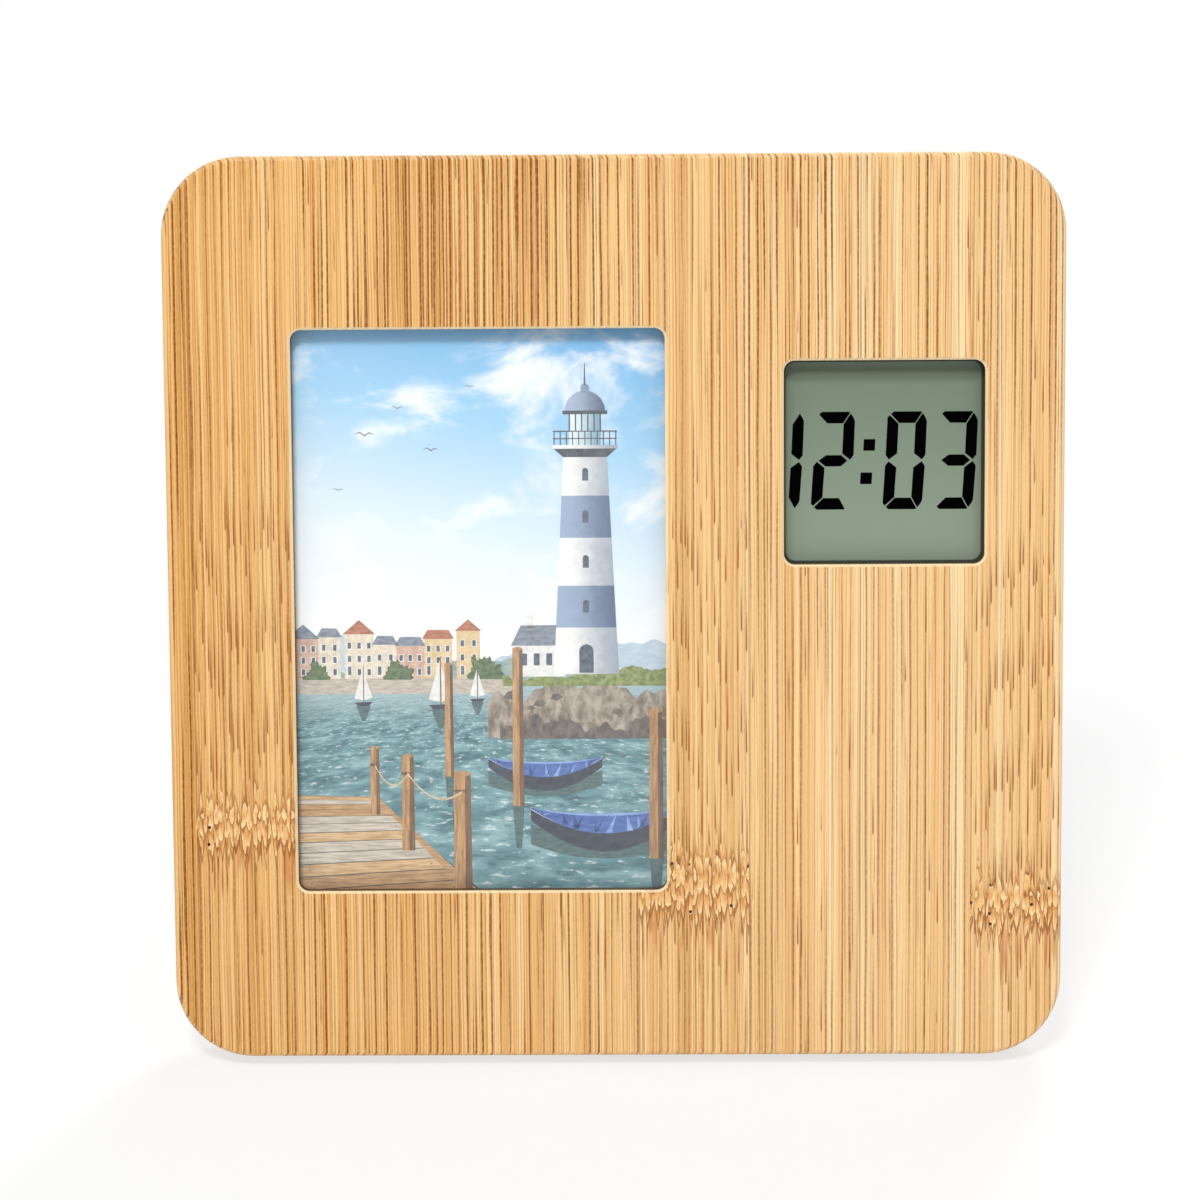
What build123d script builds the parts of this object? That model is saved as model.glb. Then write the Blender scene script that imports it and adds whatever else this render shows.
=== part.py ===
from build123d import *

import os
from math import cos, radians, sin, tan

# Photo frame clock: a bamboo board with a window for a print and a smaller window for a digital clock.
# The board leans back on a folding leg, and the clock is a module that slides in from behind.
# Sizes are in millimetres. +Z is up, +X is to the right and +Y runs from the front to the back.
# The origin is on the table, under the middle of the object.

# Bamboo board
BOARD_WIDTH = 148.0
BOARD_HEIGHT = 150.0
BOARD_THICKNESS = 10.0
BOARD_CORNER = 13.0
FRONT_EDGE_ROUND = 0.9
BACK_EDGE_ROUND = 0.6
FRONT_LIP = 2.3
LEAN = 14.0

# Picture window, the pocket behind it and the sheets that lie in the pocket
WINDOW_HEIGHT = 93.5
WINDOW_CORNER = 1.8
WINDOW_FROM_LEFT = 20.9
WINDOW_FROM_TOP = 28.3
WINDOW_BAR = 19.5
WINDOW_EASE = 0.4
PRINT_OVERLAP_SIDE = 4.25
PRINT_OVERLAP_END = 3.25
PICTURE_CLEARANCE = 0.5
POCKET_CORNER = 1.5
PANE_THICKNESS = 1.0
PRINT_THICKNESS = 0.3
DOOR_THICKNESS = 3.0

# Display window
DISPLAY_WIDTH = 33.0
DISPLAY_HEIGHT = 33.6
DISPLAY_CORNER = 1.8
DISPLAY_FROM_RIGHT = 13.1
DISPLAY_FROM_TOP = 33.8

# Display glass and the front frame of the clock module
RIM_SETBACK = 0.6
RIM_THICKNESS = 0.9
GLASS_SEAT = 0.6
GLASS_GAP = 0.2
GLASS_SHEET = 1.0
FILM_THICKNESS = 0.2
FILM_SETBACK = 0.2
REFLECTOR_THICKNESS = 0.3
REFLECTOR_SETBACK = 0.5
CONTACT_LEDGE = 2.6
STRIP_WIDTH = 1.8
STRIP_HEIGHT = 3.0
STRIP_SETBACK = 1.5
RAIL_WIDTH = 4.4
END_WALL = 2.2
MODULE_CORNER = 2.0
MODULE_CLEARANCE = 0.3

# Circuit board and what is soldered to it
CIRCUIT_THICKNESS = 1.0
CIRCUIT_CLEARANCE = 0.2
CIRCUIT_SCREW_INSET = 1.5
CIRCUIT_SCREW_SPACING = 30.0
CIRCUIT_SCREW_RADIUS = 0.7
CIRCUIT_SCREW_LENGTH = 3.6
CIRCUIT_SCREW_HEAD = 1.25
CIRCUIT_SCREW_HEAD_HEIGHT = 0.7
CHIP_PLACE = (11.5, -3.0)
CHIP_RADIUS = 3.4
CHIP_HEIGHT = 1.0
CRYSTAL_PLACE = (10.0, -13.0)
CRYSTAL_RADIUS = 1.0
CRYSTAL_LENGTH = 6.0
SOLDER_GAP = 0.05

# Button cell and its contacts
CELL_PLACE = (-8.5, -7.5)
CELL_RADIUS = 5.8
CELL_HEIGHT = 3.05
CELL_CAP_RADIUS = 4.7
CELL_CAP_HEIGHT = 0.35
CELL_EDGE = 0.25
CELL_CLEARANCE = 0.3
CONTACT_METAL = 0.25
CONTACT_RISE = 0.8
CONTACT_WIDTH = 4.0
CONTACT_GAP = 0.05
CONTACT_SLOT_CLEARANCE = 0.3
SOLDER_TAB = 1.6

# Rear case and the battery cover that locks in it by a part turn
CASE_WALL = 1.2
CASE_EDGE_ROUND = 1.0
FLANGE_MARGIN = 3.5
FLANGE_THICKNESS = 1.5
FLANGE_CORNER = 3.0
EAR_RADIUS = 4.5
EAR_REACH = 3.0
WELL_GAP = 0.6
WELL_WALL = 1.3
COVER_DISC = 1.05
COVER_RECESS = 0.1
COVER_CLEARANCE = 0.2
COVER_BOSS_RADIUS = 3.0
COVER_BOSS_HEIGHT = 0.65
CELL_PLAY = 0.1
HUB_CLEARANCE = 0.15
HUB_WALL = 0.8
LUG_REACH = 1.15
LUG_THICKNESS = 0.75
LUG_ANGLE = 32.0
LUG_PLAY = 0.1
LUG_SIDE_PLAY = 2.0
LEDGE_THICKNESS = 0.85
COVER_TURN = 45.0
COIN_SLOT_LENGTH = 11.0
COIN_SLOT_WIDTH = 1.7
COIN_SLOT_DEPTH = 0.6

# Push buttons on the back of the case
BUTTON_PLACES = {"mode_button": (-9.5, 14.0), "set_button": (9.5, 14.0)}
BUTTON_RADIUS = 2.5
BUTTON_PROUD = 0.8
BUTTON_EDGE = 0.4
BUTTON_FLANGE_REACH = 0.9
BUTTON_FLANGE_THICKNESS = 0.8
BUTTON_CLEARANCE = 0.08
BUTTON_STEM_RADIUS = 1.2
BUTTON_TRAVEL = 0.45
DOME_RADIUS = 1.9
DOME_HEIGHT = 0.5

# Turn buttons that hold the door, and the round-head screws used on the back
TURN_BUTTON_WIDTH = 7.0
TURN_BUTTON_REACH = 9.0
TURN_BUTTON_THICKNESS = 0.8
TURN_BUTTON_EDGE = 0.25
TURN_SCREW_INSET = 6.5
TURN_SCREW_FROM_POCKET = 4.5
SCREW_RADIUS = 1.2
SCREW_LENGTH = 6.5
SCREW_HEAD_RADIUS = 2.2
SCREW_HEAD_HEIGHT = 1.2
RECESS_LENGTH = 2.7
RECESS_WIDTH = 0.75
RECESS_DEPTH = 0.7
RECESS_TURN = 35.0
PILOT_CLEARANCE = 0.05
PIVOT_CLEARANCE = 0.08
SLIDE_GAP = 0.05

# Folding leg and its hinge
LEG_OPEN = 27.0
LEG_THICKNESS = 4.0
LEG_TOP_WIDTH = 30.0
LEG_FOOT_GAP = 3.5
LEG_HEEL = 7.0
LEG_NOTCH_CLEARANCE = 0.5
LEG_NOTCH_CORNER = 1.0
LEG_FOOT_CORNER = 5.0
LEG_EDGE_EASE = 0.4
LEG_STOP_GAP = 0.08
HINGE_ABOVE_MIDDLE = 23.0
PIN_RADIUS = 0.8
PIN_CLEARANCE = 0.05
PIN_OVERHANG = 0.2
LEAF_THICKNESS = 0.8
LEAF_WIDTH = 16.0
LEAF_LENGTH = 13.0
LEAF_CORNER = 1.5
KNUCKLE_WALL = 0.75
KNUCKLE_MIDDLE = 7.6
KNUCKLE_GAP = 0.2
KNUCKLE_ROOM = 0.4
DOOR_GAP = 0.15
RIVET_SPACING = 9.0
RIVET_FROM_PIN = 8.0
RIVET_RADIUS = 1.25
RIVET_HEAD_RADIUS = 2.3
RIVET_HEAD_HEIGHT = 0.9
RIVET_TAIL_RADIUS = 2.0
RIVET_TAIL_HEIGHT = 0.5
RIVET_CLEARANCE = 0.05

# Windows: the picture takes the width that the margins, the bar and the display leave,
# and both centres are measured across and up the board
window_width = BOARD_WIDTH - WINDOW_FROM_LEFT - WINDOW_BAR - DISPLAY_WIDTH - DISPLAY_FROM_RIGHT
picture_x = -BOARD_WIDTH / 2 + WINDOW_FROM_LEFT + window_width / 2
picture_y = BOARD_HEIGHT - WINDOW_FROM_TOP - WINDOW_HEIGHT / 2
clock_x = BOARD_WIDTH / 2 - DISPLAY_FROM_RIGHT - DISPLAY_WIDTH / 2
clock_y = BOARD_HEIGHT - DISPLAY_FROM_TOP - DISPLAY_HEIGHT / 2

# Hinge sizes that follow: the pin's height over the door and the leg's front face, seen from the pin
knuckle_bore = PIN_RADIUS + PIN_CLEARANCE
knuckle_radius = knuckle_bore + KNUCKLE_WALL
pin_height = knuckle_radius + DOOR_GAP
leg_face = knuckle_radius - LEAF_THICKNESS
leg_back = LEG_THICKNESS - leg_face
leaf_start = knuckle_radius + KNUCKLE_ROOM
hinge_height = picture_y + HINGE_ABOVE_MIDDLE

# Pose of the board: it stands on its rounded lower back edge, and the leg's foot is cut level with it
lean = radians(LEAN)
splay = radians(LEG_OPEN - LEAN)
stand_height = (BOARD_THICKNESS - BACK_EDGE_ROUND) * sin(lean) + BACK_EDGE_ROUND * (1 - cos(lean))
pin_depth = BOARD_THICKNESS + pin_height
pin_back = hinge_height * sin(lean) + pin_depth * cos(lean)
pin_up = stand_height + hinge_height * cos(lean) - pin_depth * sin(lean)
foot_back = pin_back + leg_back * cos(splay) + (pin_up + leg_back * sin(splay)) * tan(splay)
front_edge = FRONT_EDGE_ROUND * (sin(lean) + cos(lean) - 1)
board_shift = -(front_edge + foot_back) / 2

RIGHT = Vector(1, 0, 0)
BOARD_UP = Vector(0, sin(lean), cos(lean))
BOARD_BACK = Vector(0, cos(lean), -sin(lean))
BOARD_ORIGIN = Vector(0, board_shift, stand_height)
OUT_OF_FRONT = Axis(BOARD_ORIGIN, -BOARD_BACK)

# Picture stack, front to back
print_width = window_width + 2 * PRINT_OVERLAP_SIDE
print_height = WINDOW_HEIGHT + 2 * PRINT_OVERLAP_END
picture_pocket_width = print_width + 2 * PICTURE_CLEARANCE
picture_pocket_height = print_height + 2 * PICTURE_CLEARANCE
sheet_corner = POCKET_CORNER - PICTURE_CLEARANCE
print_front = FRONT_LIP + PANE_THICKNESS
pad_front = print_front + PRINT_THICKNESS
door_front = BOARD_THICKNESS - DOOR_THICKNESS

# Clock module, across
rim_opening_width = DISPLAY_WIDTH + 2 * RIM_SETBACK
rim_opening_height = DISPLAY_HEIGHT + 2 * RIM_SETBACK
glass_width = rim_opening_width + 2 * GLASS_SEAT
glass_height = rim_opening_height + 2 * CONTACT_LEDGE
glass_room_width = glass_width + 2 * GLASS_GAP
glass_room_height = glass_height + 2 * GLASS_GAP
module_width = glass_room_width + 2 * RAIL_WIDTH
module_height = glass_room_height + 2 * END_WALL
clock_pocket_width = module_width + 2 * MODULE_CLEARANCE
clock_pocket_height = module_height + 2 * MODULE_CLEARANCE
cavity_width = module_width - 2 * CASE_WALL
cavity_height = module_height - 2 * CASE_WALL
circuit_width = cavity_width - 2 * CIRCUIT_CLEARANCE
circuit_height = cavity_height - 2 * CIRCUIT_CLEARANCE
circuit_screw_x = glass_room_width / 2 + CIRCUIT_SCREW_INSET
flange_width = module_width + 2 * FLANGE_MARGIN
flange_height = module_height + 2 * FLANGE_MARGIN
ear_y = flange_height / 2 + EAR_REACH

# Clock module, front to back
film_front = FRONT_LIP + RIM_THICKNESS
glass_front = film_front + FILM_THICKNESS
glass_middle = glass_front + GLASS_SHEET
glass_back = glass_middle + GLASS_SHEET
circuit_front = glass_middle + STRIP_HEIGHT
circuit_back = circuit_front + CIRCUIT_THICKNESS
cell_front = circuit_back + CONTACT_RISE
cell_back = cell_front + CELL_HEIGHT
well_front = circuit_back + WELL_GAP
cover_front = cell_back + CELL_PLAY + COVER_BOSS_HEIGHT
cover_back = cover_front + COVER_DISC
case_back = cover_back + COVER_RECESS
case_inside = case_back - CASE_WALL
ledge_back = cover_front - SLIDE_GAP
ledge_front = ledge_back - LEDGE_THICKNESS
lug_back = ledge_front - LUG_PLAY
lug_front = lug_back - LUG_THICKNESS
undercut_front = lug_front - LUG_PLAY
dome_back = circuit_back + DOME_HEIGHT
stem_front = dome_back + BUTTON_TRAVEL + SLIDE_GAP

# Battery well and cover, outward from the cell
well_radius = CELL_RADIUS + CELL_CLEARANCE
hub_inside = well_radius + HUB_CLEARANCE
hub_radius = hub_inside + HUB_WALL
ledge_radius = hub_radius + HUB_CLEARANCE
lug_radius = hub_radius + LUG_REACH
undercut_radius = lug_radius + COVER_CLEARANCE
cover_radius = undercut_radius + HUB_WALL
recess_radius = cover_radius + COVER_CLEARANCE
boss_radius = recess_radius + CASE_WALL

# Screw places, measured across and up the board
turn_screw_x = picture_pocket_width / 2 - TURN_SCREW_INSET
turn_screw_y = picture_pocket_height / 2 + TURN_SCREW_FROM_POCKET
turn_screws = [
    (picture_x + side * turn_screw_x, picture_y + end * turn_screw_y, end)
    for end in (1, -1)
    for side in (-1, 1)
]
leg_foot_width = 2 * (turn_screw_x - TURN_BUTTON_WIDTH / 2 - LEG_FOOT_GAP)
module_screws = [(clock_x, clock_y + end * ear_y) for end in (1, -1)]
cell_x = clock_x + CELL_PLACE[0]
cell_y = clock_y + CELL_PLACE[1]


def board_point(x, y, depth):
    """A place given across the board, up the board and behind its front face."""
    return BOARD_ORIGIN + RIGHT * x + BOARD_UP * y + BOARD_BACK * depth


def facing_front(x, y, depth):
    """A plane parallel to the board that looks out of the front: extrude backwards with a minus."""
    return Plane(board_point(x, y, depth), x_dir=RIGHT, z_dir=-BOARD_BACK)


def facing_back(x, y, depth):
    """A plane parallel to the board that looks out of the back: a hole there goes forwards."""
    return Plane(board_point(x, y, depth), x_dir=-RIGHT, z_dir=BOARD_BACK)


def section(x, y):
    """A level section through the board, with local x to the right and local y for the depth."""
    return Plane(board_point(x, y, 0), x_dir=RIGHT, z_dir=BOARD_UP)


def side_section(x, y):
    """An upright section through the board, with local x up the board and local y for the depth."""
    return Plane(board_point(x, y, 0), x_dir=BOARD_UP, z_dir=-RIGHT)


def depth_axis(x, y):
    """The line straight through the board at a place on its front."""
    return Axis(board_point(x, y, 0), BOARD_BACK)


def save(piece, name):
    """Label a finished piece and write it under its name."""
    piece.part.label = name
    export_step(piece.part, f"parts/{name}.step")


def sheet(name, x, y, depth, width, height, thickness, corner=0):
    """A flat sheet parallel to the board, its front face at the given depth."""
    with BuildPart() as piece:
        with BuildSketch(facing_front(x, y, depth)):
            if corner:
                RectangleRounded(width, height, corner)
            else:
                Rectangle(width, height)
        extrude(amount=-thickness)
    save(piece, name)


def headed_profile(seat, head_radius, head_height, shank_radius, shank_length, tail_radius=0, tail_height=0):
    """Half section of a domed head on a shank that runs forwards from its seat, with an optional tail."""
    end = seat - shank_length
    with BuildLine() as outline:
        TangentArc((0, seat + head_height), (head_radius, seat), tangent=(1, 0))
        if tail_radius:
            waist = end + tail_height
            Polyline((head_radius, seat), (shank_radius, seat), (shank_radius, waist), (tail_radius, waist),
                     (tail_radius, end), (0, end), (0, seat + head_height))
        else:
            Polyline((head_radius, seat), (shank_radius, seat), (shank_radius, end + shank_radius),
                     (0, end), (0, seat + head_height))
    make_face(outline.edges())


def screws(name, places, seat):
    """Round-head screws on one seat, each cross recess turned on from the one before it."""
    with BuildPart() as piece:
        for number, (x, y) in enumerate(places):
            with BuildSketch(section(x, y)):
                headed_profile(seat, SCREW_HEAD_RADIUS, SCREW_HEAD_HEIGHT, SCREW_RADIUS, SCREW_LENGTH)
            revolve(axis=depth_axis(x, y))
            with BuildSketch(facing_back(x, y, seat + SCREW_HEAD_HEIGHT)):
                Rectangle(RECESS_LENGTH, RECESS_WIDTH, rotation=number * RECESS_TURN)
                Rectangle(RECESS_WIDTH, RECESS_LENGTH, rotation=number * RECESS_TURN)
            extrude(amount=-RECESS_DEPTH, mode=Mode.SUBTRACT)
    save(piece, name)


def dome_profile(seat, radius, height):
    """Half section of a low dome that stands on its seat."""
    with BuildLine() as outline:
        TangentArc((0, seat + height), (radius, seat), tangent=(1, 0))
        Polyline((radius, seat), (0, seat), (0, seat + height))
    make_face(outline.edges())


def ring_sector(inner, outer, start, size):
    """A part of a flat ring, from a start angle over a size in degrees."""
    with BuildLine() as outline:
        inside = CenterArc((0, 0), inner, start, size)
        outside = CenterArc((0, 0), outer, start, size)
        Line(inside @ 0, outside @ 0)
        Line(inside @ 1, outside @ 1)
    make_face(outline.edges())


os.makedirs("parts", exist_ok=True)

# Bamboo board: one routed piece, with two windows, two pockets from behind and pilot holes for the screws
with BuildPart() as bamboo_board:
    with BuildSketch(facing_front(0, BOARD_HEIGHT / 2, 0)):
        RectangleRounded(BOARD_WIDTH, BOARD_HEIGHT, BOARD_CORNER)
    extrude(amount=-BOARD_THICKNESS)
    fillet(bamboo_board.faces().sort_by(OUT_OF_FRONT)[-1].edges(), FRONT_EDGE_ROUND)
    fillet(bamboo_board.faces().sort_by(OUT_OF_FRONT)[0].edges(), BACK_EDGE_ROUND)
    with BuildSketch(facing_front(picture_x, picture_y, 0)):
        RectangleRounded(window_width, WINDOW_HEIGHT, WINDOW_CORNER)
    extrude(amount=-BOARD_THICKNESS, mode=Mode.SUBTRACT)
    with BuildSketch(facing_front(clock_x, clock_y, 0)):
        RectangleRounded(DISPLAY_WIDTH, DISPLAY_HEIGHT, DISPLAY_CORNER)
    extrude(amount=-BOARD_THICKNESS, mode=Mode.SUBTRACT)
    board_front = bamboo_board.faces().sort_by(OUT_OF_FRONT)[-1]
    chamfer(board_front.inner_wires().edges(), WINDOW_EASE)
    with BuildSketch(facing_front(picture_x, picture_y, FRONT_LIP)):
        RectangleRounded(picture_pocket_width, picture_pocket_height, POCKET_CORNER)
    extrude(amount=-(BOARD_THICKNESS - FRONT_LIP), mode=Mode.SUBTRACT)
    with BuildSketch(facing_front(clock_x, clock_y, FRONT_LIP)):
        RectangleRounded(clock_pocket_width, clock_pocket_height, MODULE_CORNER)
    extrude(amount=-(BOARD_THICKNESS - FRONT_LIP), mode=Mode.SUBTRACT)
    with Locations(*[facing_back(x, y, BOARD_THICKNESS) for x, y, end in turn_screws]):
        Hole(SCREW_RADIUS + PILOT_CLEARANCE, SCREW_LENGTH)
    with Locations(*[facing_back(x, y, BOARD_THICKNESS) for x, y in module_screws]):
        Hole(SCREW_RADIUS + PILOT_CLEARANCE, SCREW_LENGTH)
save(bamboo_board, "bamboo_board")

# Picture stack: clear pane, print, soft pad
picture_layers = [
    ("photo_pane", FRONT_LIP, PANE_THICKNESS),
    ("photo_print", print_front, PRINT_THICKNESS),
    ("filler_pad", pad_front, door_front - pad_front),
]
for name, depth, thickness in picture_layers:
    sheet(name, picture_x, picture_y, depth, print_width, print_height, thickness, sheet_corner)

# Back door: thin board flush with the back, drilled for the two hinge rivets
rivet_places = [(picture_x + side * RIVET_SPACING / 2, hinge_height + RIVET_FROM_PIN) for side in (-1, 1)]
with BuildPart() as back_door:
    with BuildSketch(facing_front(picture_x, picture_y, door_front)):
        RectangleRounded(print_width, print_height, sheet_corner)
    extrude(amount=-DOOR_THICKNESS)
    with Locations(*[facing_front(x, y, door_front) for x, y in rivet_places]):
        CounterBoreHole(RIVET_RADIUS + RIVET_CLEARANCE, RIVET_TAIL_RADIUS + RIVET_CLEARANCE,
                        RIVET_TAIL_HEIGHT + RIVET_CLEARANCE)
save(back_door, "back_door")

# Turn buttons: stamped plates that swivel on a screw and reach over the edge of the door
for number, (x, y, end) in enumerate(turn_screws, start=1):
    with BuildPart() as turn_button:
        with BuildSketch(facing_back(x, y, BOARD_THICKNESS + SLIDE_GAP)):
            with Locations((0, -end * TURN_BUTTON_REACH / 2)):
                SlotCenterToCenter(TURN_BUTTON_REACH, TURN_BUTTON_WIDTH, rotation=90)
            Circle(SCREW_RADIUS + PIVOT_CLEARANCE, mode=Mode.SUBTRACT)
        extrude(amount=TURN_BUTTON_THICKNESS)
        outer_face = turn_button.faces().sort_by(OUT_OF_FRONT)[0]
        chamfer(outer_face.outer_wire().edges(), TURN_BUTTON_EDGE)
    save(turn_button, f"turn_button_{number}")

screws("turn_button_screws", [(x, y) for x, y, end in turn_screws],
       BOARD_THICKNESS + TURN_BUTTON_THICKNESS + 2 * SLIDE_GAP)

# Leg hinge: the door's leaf goes up from the pin and has the outer knuckles,
# the leg's leaf goes down from it and has the middle one
pin_point = board_point(picture_x, hinge_height, pin_depth)
LEG_UP = Vector(0, -sin(splay), cos(splay))
LEG_BACK = Vector(0, cos(splay), sin(splay))
outer_knuckle = (LEAF_WIDTH - KNUCKLE_MIDDLE) / 2 - KNUCKLE_GAP
outer_knuckle_x = (LEAF_WIDTH - outer_knuckle) / 2


def hinge_leaf(name, along, away, outside, knuckles, rivet_hole):
    """One leaf: along points down the leaf from the pin, away points off the door,
    outside is how far the leaf's door side lies from the pin's axis."""
    leaf_plane = Plane(pin_point, x_dir=along.cross(away), z_dir=away)
    with BuildPart() as leaf:
        with BuildSketch(leaf_plane.offset(-outside)) as outline:
            with Locations((0, (leaf_start + LEAF_LENGTH) / 2)):
                Rectangle(LEAF_WIDTH, LEAF_LENGTH - leaf_start)
            fillet(outline.vertices().group_by(Axis.Y)[-1], LEAF_CORNER)
            for middle, length in knuckles:
                with Locations((middle, leaf_start / 2)):
                    Rectangle(length, leaf_start)
            with Locations((-RIVET_SPACING / 2, RIVET_FROM_PIN), (RIVET_SPACING / 2, RIVET_FROM_PIN)):
                Circle(rivet_hole, mode=Mode.SUBTRACT)
        extrude(amount=LEAF_THICKNESS)
        for middle, length in knuckles:
            knuckle_middle = pin_point + leaf_plane.x_dir * middle
            with BuildSketch(Plane(knuckle_middle, x_dir=along, z_dir=leaf_plane.x_dir)):
                Circle(knuckle_radius)
            extrude(amount=length / 2, both=True)
        with BuildSketch(Plane(pin_point, x_dir=along, z_dir=leaf_plane.x_dir)):
            Circle(knuckle_bore)
        extrude(amount=LEAF_WIDTH, both=True, mode=Mode.SUBTRACT)
    save(leaf, name)


outer_knuckles = [(side * outer_knuckle_x, outer_knuckle) for side in (-1, 1)]
middle_knuckle = [(0, KNUCKLE_MIDDLE)]
hinge_leaf("hinge_door_leaf", BOARD_UP, BOARD_BACK, pin_height, outer_knuckles,
           RIVET_RADIUS + RIVET_CLEARANCE)
hinge_leaf("hinge_leg_leaf", -LEG_UP, LEG_BACK, knuckle_radius, middle_knuckle,
           RIVET_TAIL_RADIUS + RIVET_CLEARANCE)

with BuildPart() as hinge_pin:
    with BuildSketch(Plane(pin_point, x_dir=BOARD_UP, z_dir=RIGHT)):
        Circle(PIN_RADIUS)
    extrude(amount=LEAF_WIDTH / 2 + PIN_OVERHANG, both=True)
    chamfer(hinge_pin.edges().filter_by(GeomType.CIRCLE), PIN_OVERHANG)
save(hinge_pin, "hinge_pin")

with BuildPart() as hinge_door_rivets:
    for x, y in rivet_places:
        with BuildSketch(section(x, y)):
            headed_profile(BOARD_THICKNESS + LEAF_THICKNESS, RIVET_HEAD_RADIUS, RIVET_HEAD_HEIGHT,
                           RIVET_RADIUS, LEAF_THICKNESS + DOOR_THICKNESS, RIVET_TAIL_RADIUS,
                           RIVET_TAIL_HEIGHT)
        revolve(axis=depth_axis(x, y))
save(hinge_door_rivets, "hinge_door_rivets")

# Leg: a tapered board notched round the hinge; its two shoulders are bevelled so that they lie on the door
# when the leg is open, and its foot is cut level with the table
leg_plane = Plane(pin_point, x_dir=RIGHT, z_dir=-LEG_BACK)
leg_reach = pin_up / cos(splay) + LEG_THICKNESS
notch_width = LEAF_WIDTH + 2 * LEG_NOTCH_CLEARANCE
leg_taper = (leg_foot_width - LEG_TOP_WIDTH) / 2 / (pin_up / cos(splay) + LEG_HEEL)
long_half = LEG_TOP_WIDTH / 2 + leg_taper * (leg_reach + LEG_HEEL)
leg_rivet_spots = [(side * RIVET_SPACING / 2, -RIVET_FROM_PIN) for side in (-1, 1)]
with BuildPart() as stand_leg:
    with BuildSketch(leg_plane.offset(leg_face)):
        with BuildLine():
            Polyline((-LEG_TOP_WIDTH / 2, LEG_HEEL), (LEG_TOP_WIDTH / 2, LEG_HEEL), (long_half, -leg_reach),
                     (-long_half, -leg_reach), close=True)
        make_face()
        with Locations((0, LEG_HEEL)):
            RectangleRounded(notch_width, 2 * (LEG_HEEL + leaf_start), LEG_NOTCH_CORNER, mode=Mode.SUBTRACT)
        with Locations(*leg_rivet_spots):
            Circle(RIVET_RADIUS + RIVET_CLEARANCE, mode=Mode.SUBTRACT)
    extrude(amount=-LEG_THICKNESS)
    split(bisect_by=facing_back(0, 0, BOARD_THICKNESS + LEG_STOP_GAP), keep=Keep.TOP)
    split(bisect_by=Plane.XY, keep=Keep.TOP)
    foot_face = stand_leg.faces().sort_by(Axis.Z)[0]
    fillet(foot_face.edges().filter_by(Axis.X, reverse=True), LEG_FOOT_CORNER)
    back_face = stand_leg.faces().sort_by(Axis(pin_point, LEG_BACK))[-1]
    chamfer(back_face.outer_wire().edges().sort_by(Axis.Z)[1:], LEG_EDGE_EASE)
save(stand_leg, "stand_leg")

with BuildPart() as hinge_leg_rivets:
    for x, y in leg_rivet_spots:
        rivet_plane = Plane(leg_plane.from_local_coords((x, y, 0)), x_dir=RIGHT, z_dir=LEG_UP)
        with BuildSketch(rivet_plane):
            headed_profile(leg_back, RIVET_HEAD_RADIUS, RIVET_HEAD_HEIGHT, RIVET_RADIUS,
                           LEG_THICKNESS + LEAF_THICKNESS, RIVET_TAIL_RADIUS, LEAF_THICKNESS)
        revolve(axis=Axis(rivet_plane.origin, LEG_BACK))
save(hinge_leg_rivets, "hinge_leg_rivets")

# Module front frame: a rim behind the display window, rails at the sides that take the circuit board's screws
circuit_screws = [
    (clock_x + side * circuit_screw_x, clock_y + end * CIRCUIT_SCREW_SPACING / 2)
    for end in (1, -1)
    for side in (-1, 1)
]
with BuildPart() as module_front_frame:
    with BuildSketch(facing_front(clock_x, clock_y, FRONT_LIP)):
        RectangleRounded(module_width, module_height, MODULE_CORNER)
    extrude(amount=-(circuit_front - FRONT_LIP))
    with BuildSketch(facing_front(clock_x, clock_y, FRONT_LIP)):
        Rectangle(rim_opening_width, rim_opening_height)
    extrude(amount=-RIM_THICKNESS, mode=Mode.SUBTRACT)
    with BuildSketch(facing_front(clock_x, clock_y, film_front)):
        Rectangle(glass_room_width, glass_room_height)
    extrude(amount=-(circuit_front - film_front), mode=Mode.SUBTRACT)
    with Locations(*[facing_back(x, y, circuit_front) for x, y in circuit_screws]):
        Hole(CIRCUIT_SCREW_RADIUS + PILOT_CLEARANCE, CIRCUIT_SCREW_LENGTH - CIRCUIT_THICKNESS)
save(module_front_frame, "module_front_frame")

# Display: front film, two glass sheets with contact ledges at the top and bottom, reflector film
sheet("lcd_front_film", clock_x, clock_y, film_front, glass_width - 2 * FILM_SETBACK,
      glass_height - 2 * FILM_SETBACK, FILM_THICKNESS)
with BuildPart() as lcd_glass:
    with BuildSketch(facing_front(clock_x, clock_y, glass_front)):
        Rectangle(glass_width, glass_height)
    extrude(amount=-GLASS_SHEET)
    with BuildSketch(facing_front(clock_x, clock_y, glass_middle)):
        Rectangle(glass_width, rim_opening_height)
    extrude(amount=-GLASS_SHEET)
save(lcd_glass, "lcd_glass")
sheet("lcd_reflector", clock_x, clock_y, glass_back, glass_width - 2 * REFLECTOR_SETBACK,
      rim_opening_height - 2 * REFLECTOR_SETBACK, REFLECTOR_THICKNESS)

with BuildPart() as contact_strips:
    with BuildSketch(facing_front(clock_x, clock_y, glass_middle)):
        with GridLocations(0, rim_opening_height + CONTACT_LEDGE, 1, 2):
            Rectangle(glass_width - 2 * STRIP_SETBACK, STRIP_WIDTH)
    extrude(amount=-STRIP_HEIGHT)
save(contact_strips, "contact_strips")

# Circuit board with its screws, the potted chip and the crystal
with BuildPart() as circuit_board:
    with BuildSketch(facing_front(clock_x, clock_y, circuit_front)):
        Rectangle(circuit_width, circuit_height)
    extrude(amount=-CIRCUIT_THICKNESS)
    with Locations(*[facing_back(x, y, circuit_back) for x, y in circuit_screws]):
        Hole(CIRCUIT_SCREW_RADIUS + PILOT_CLEARANCE)
save(circuit_board, "circuit_board")

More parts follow.
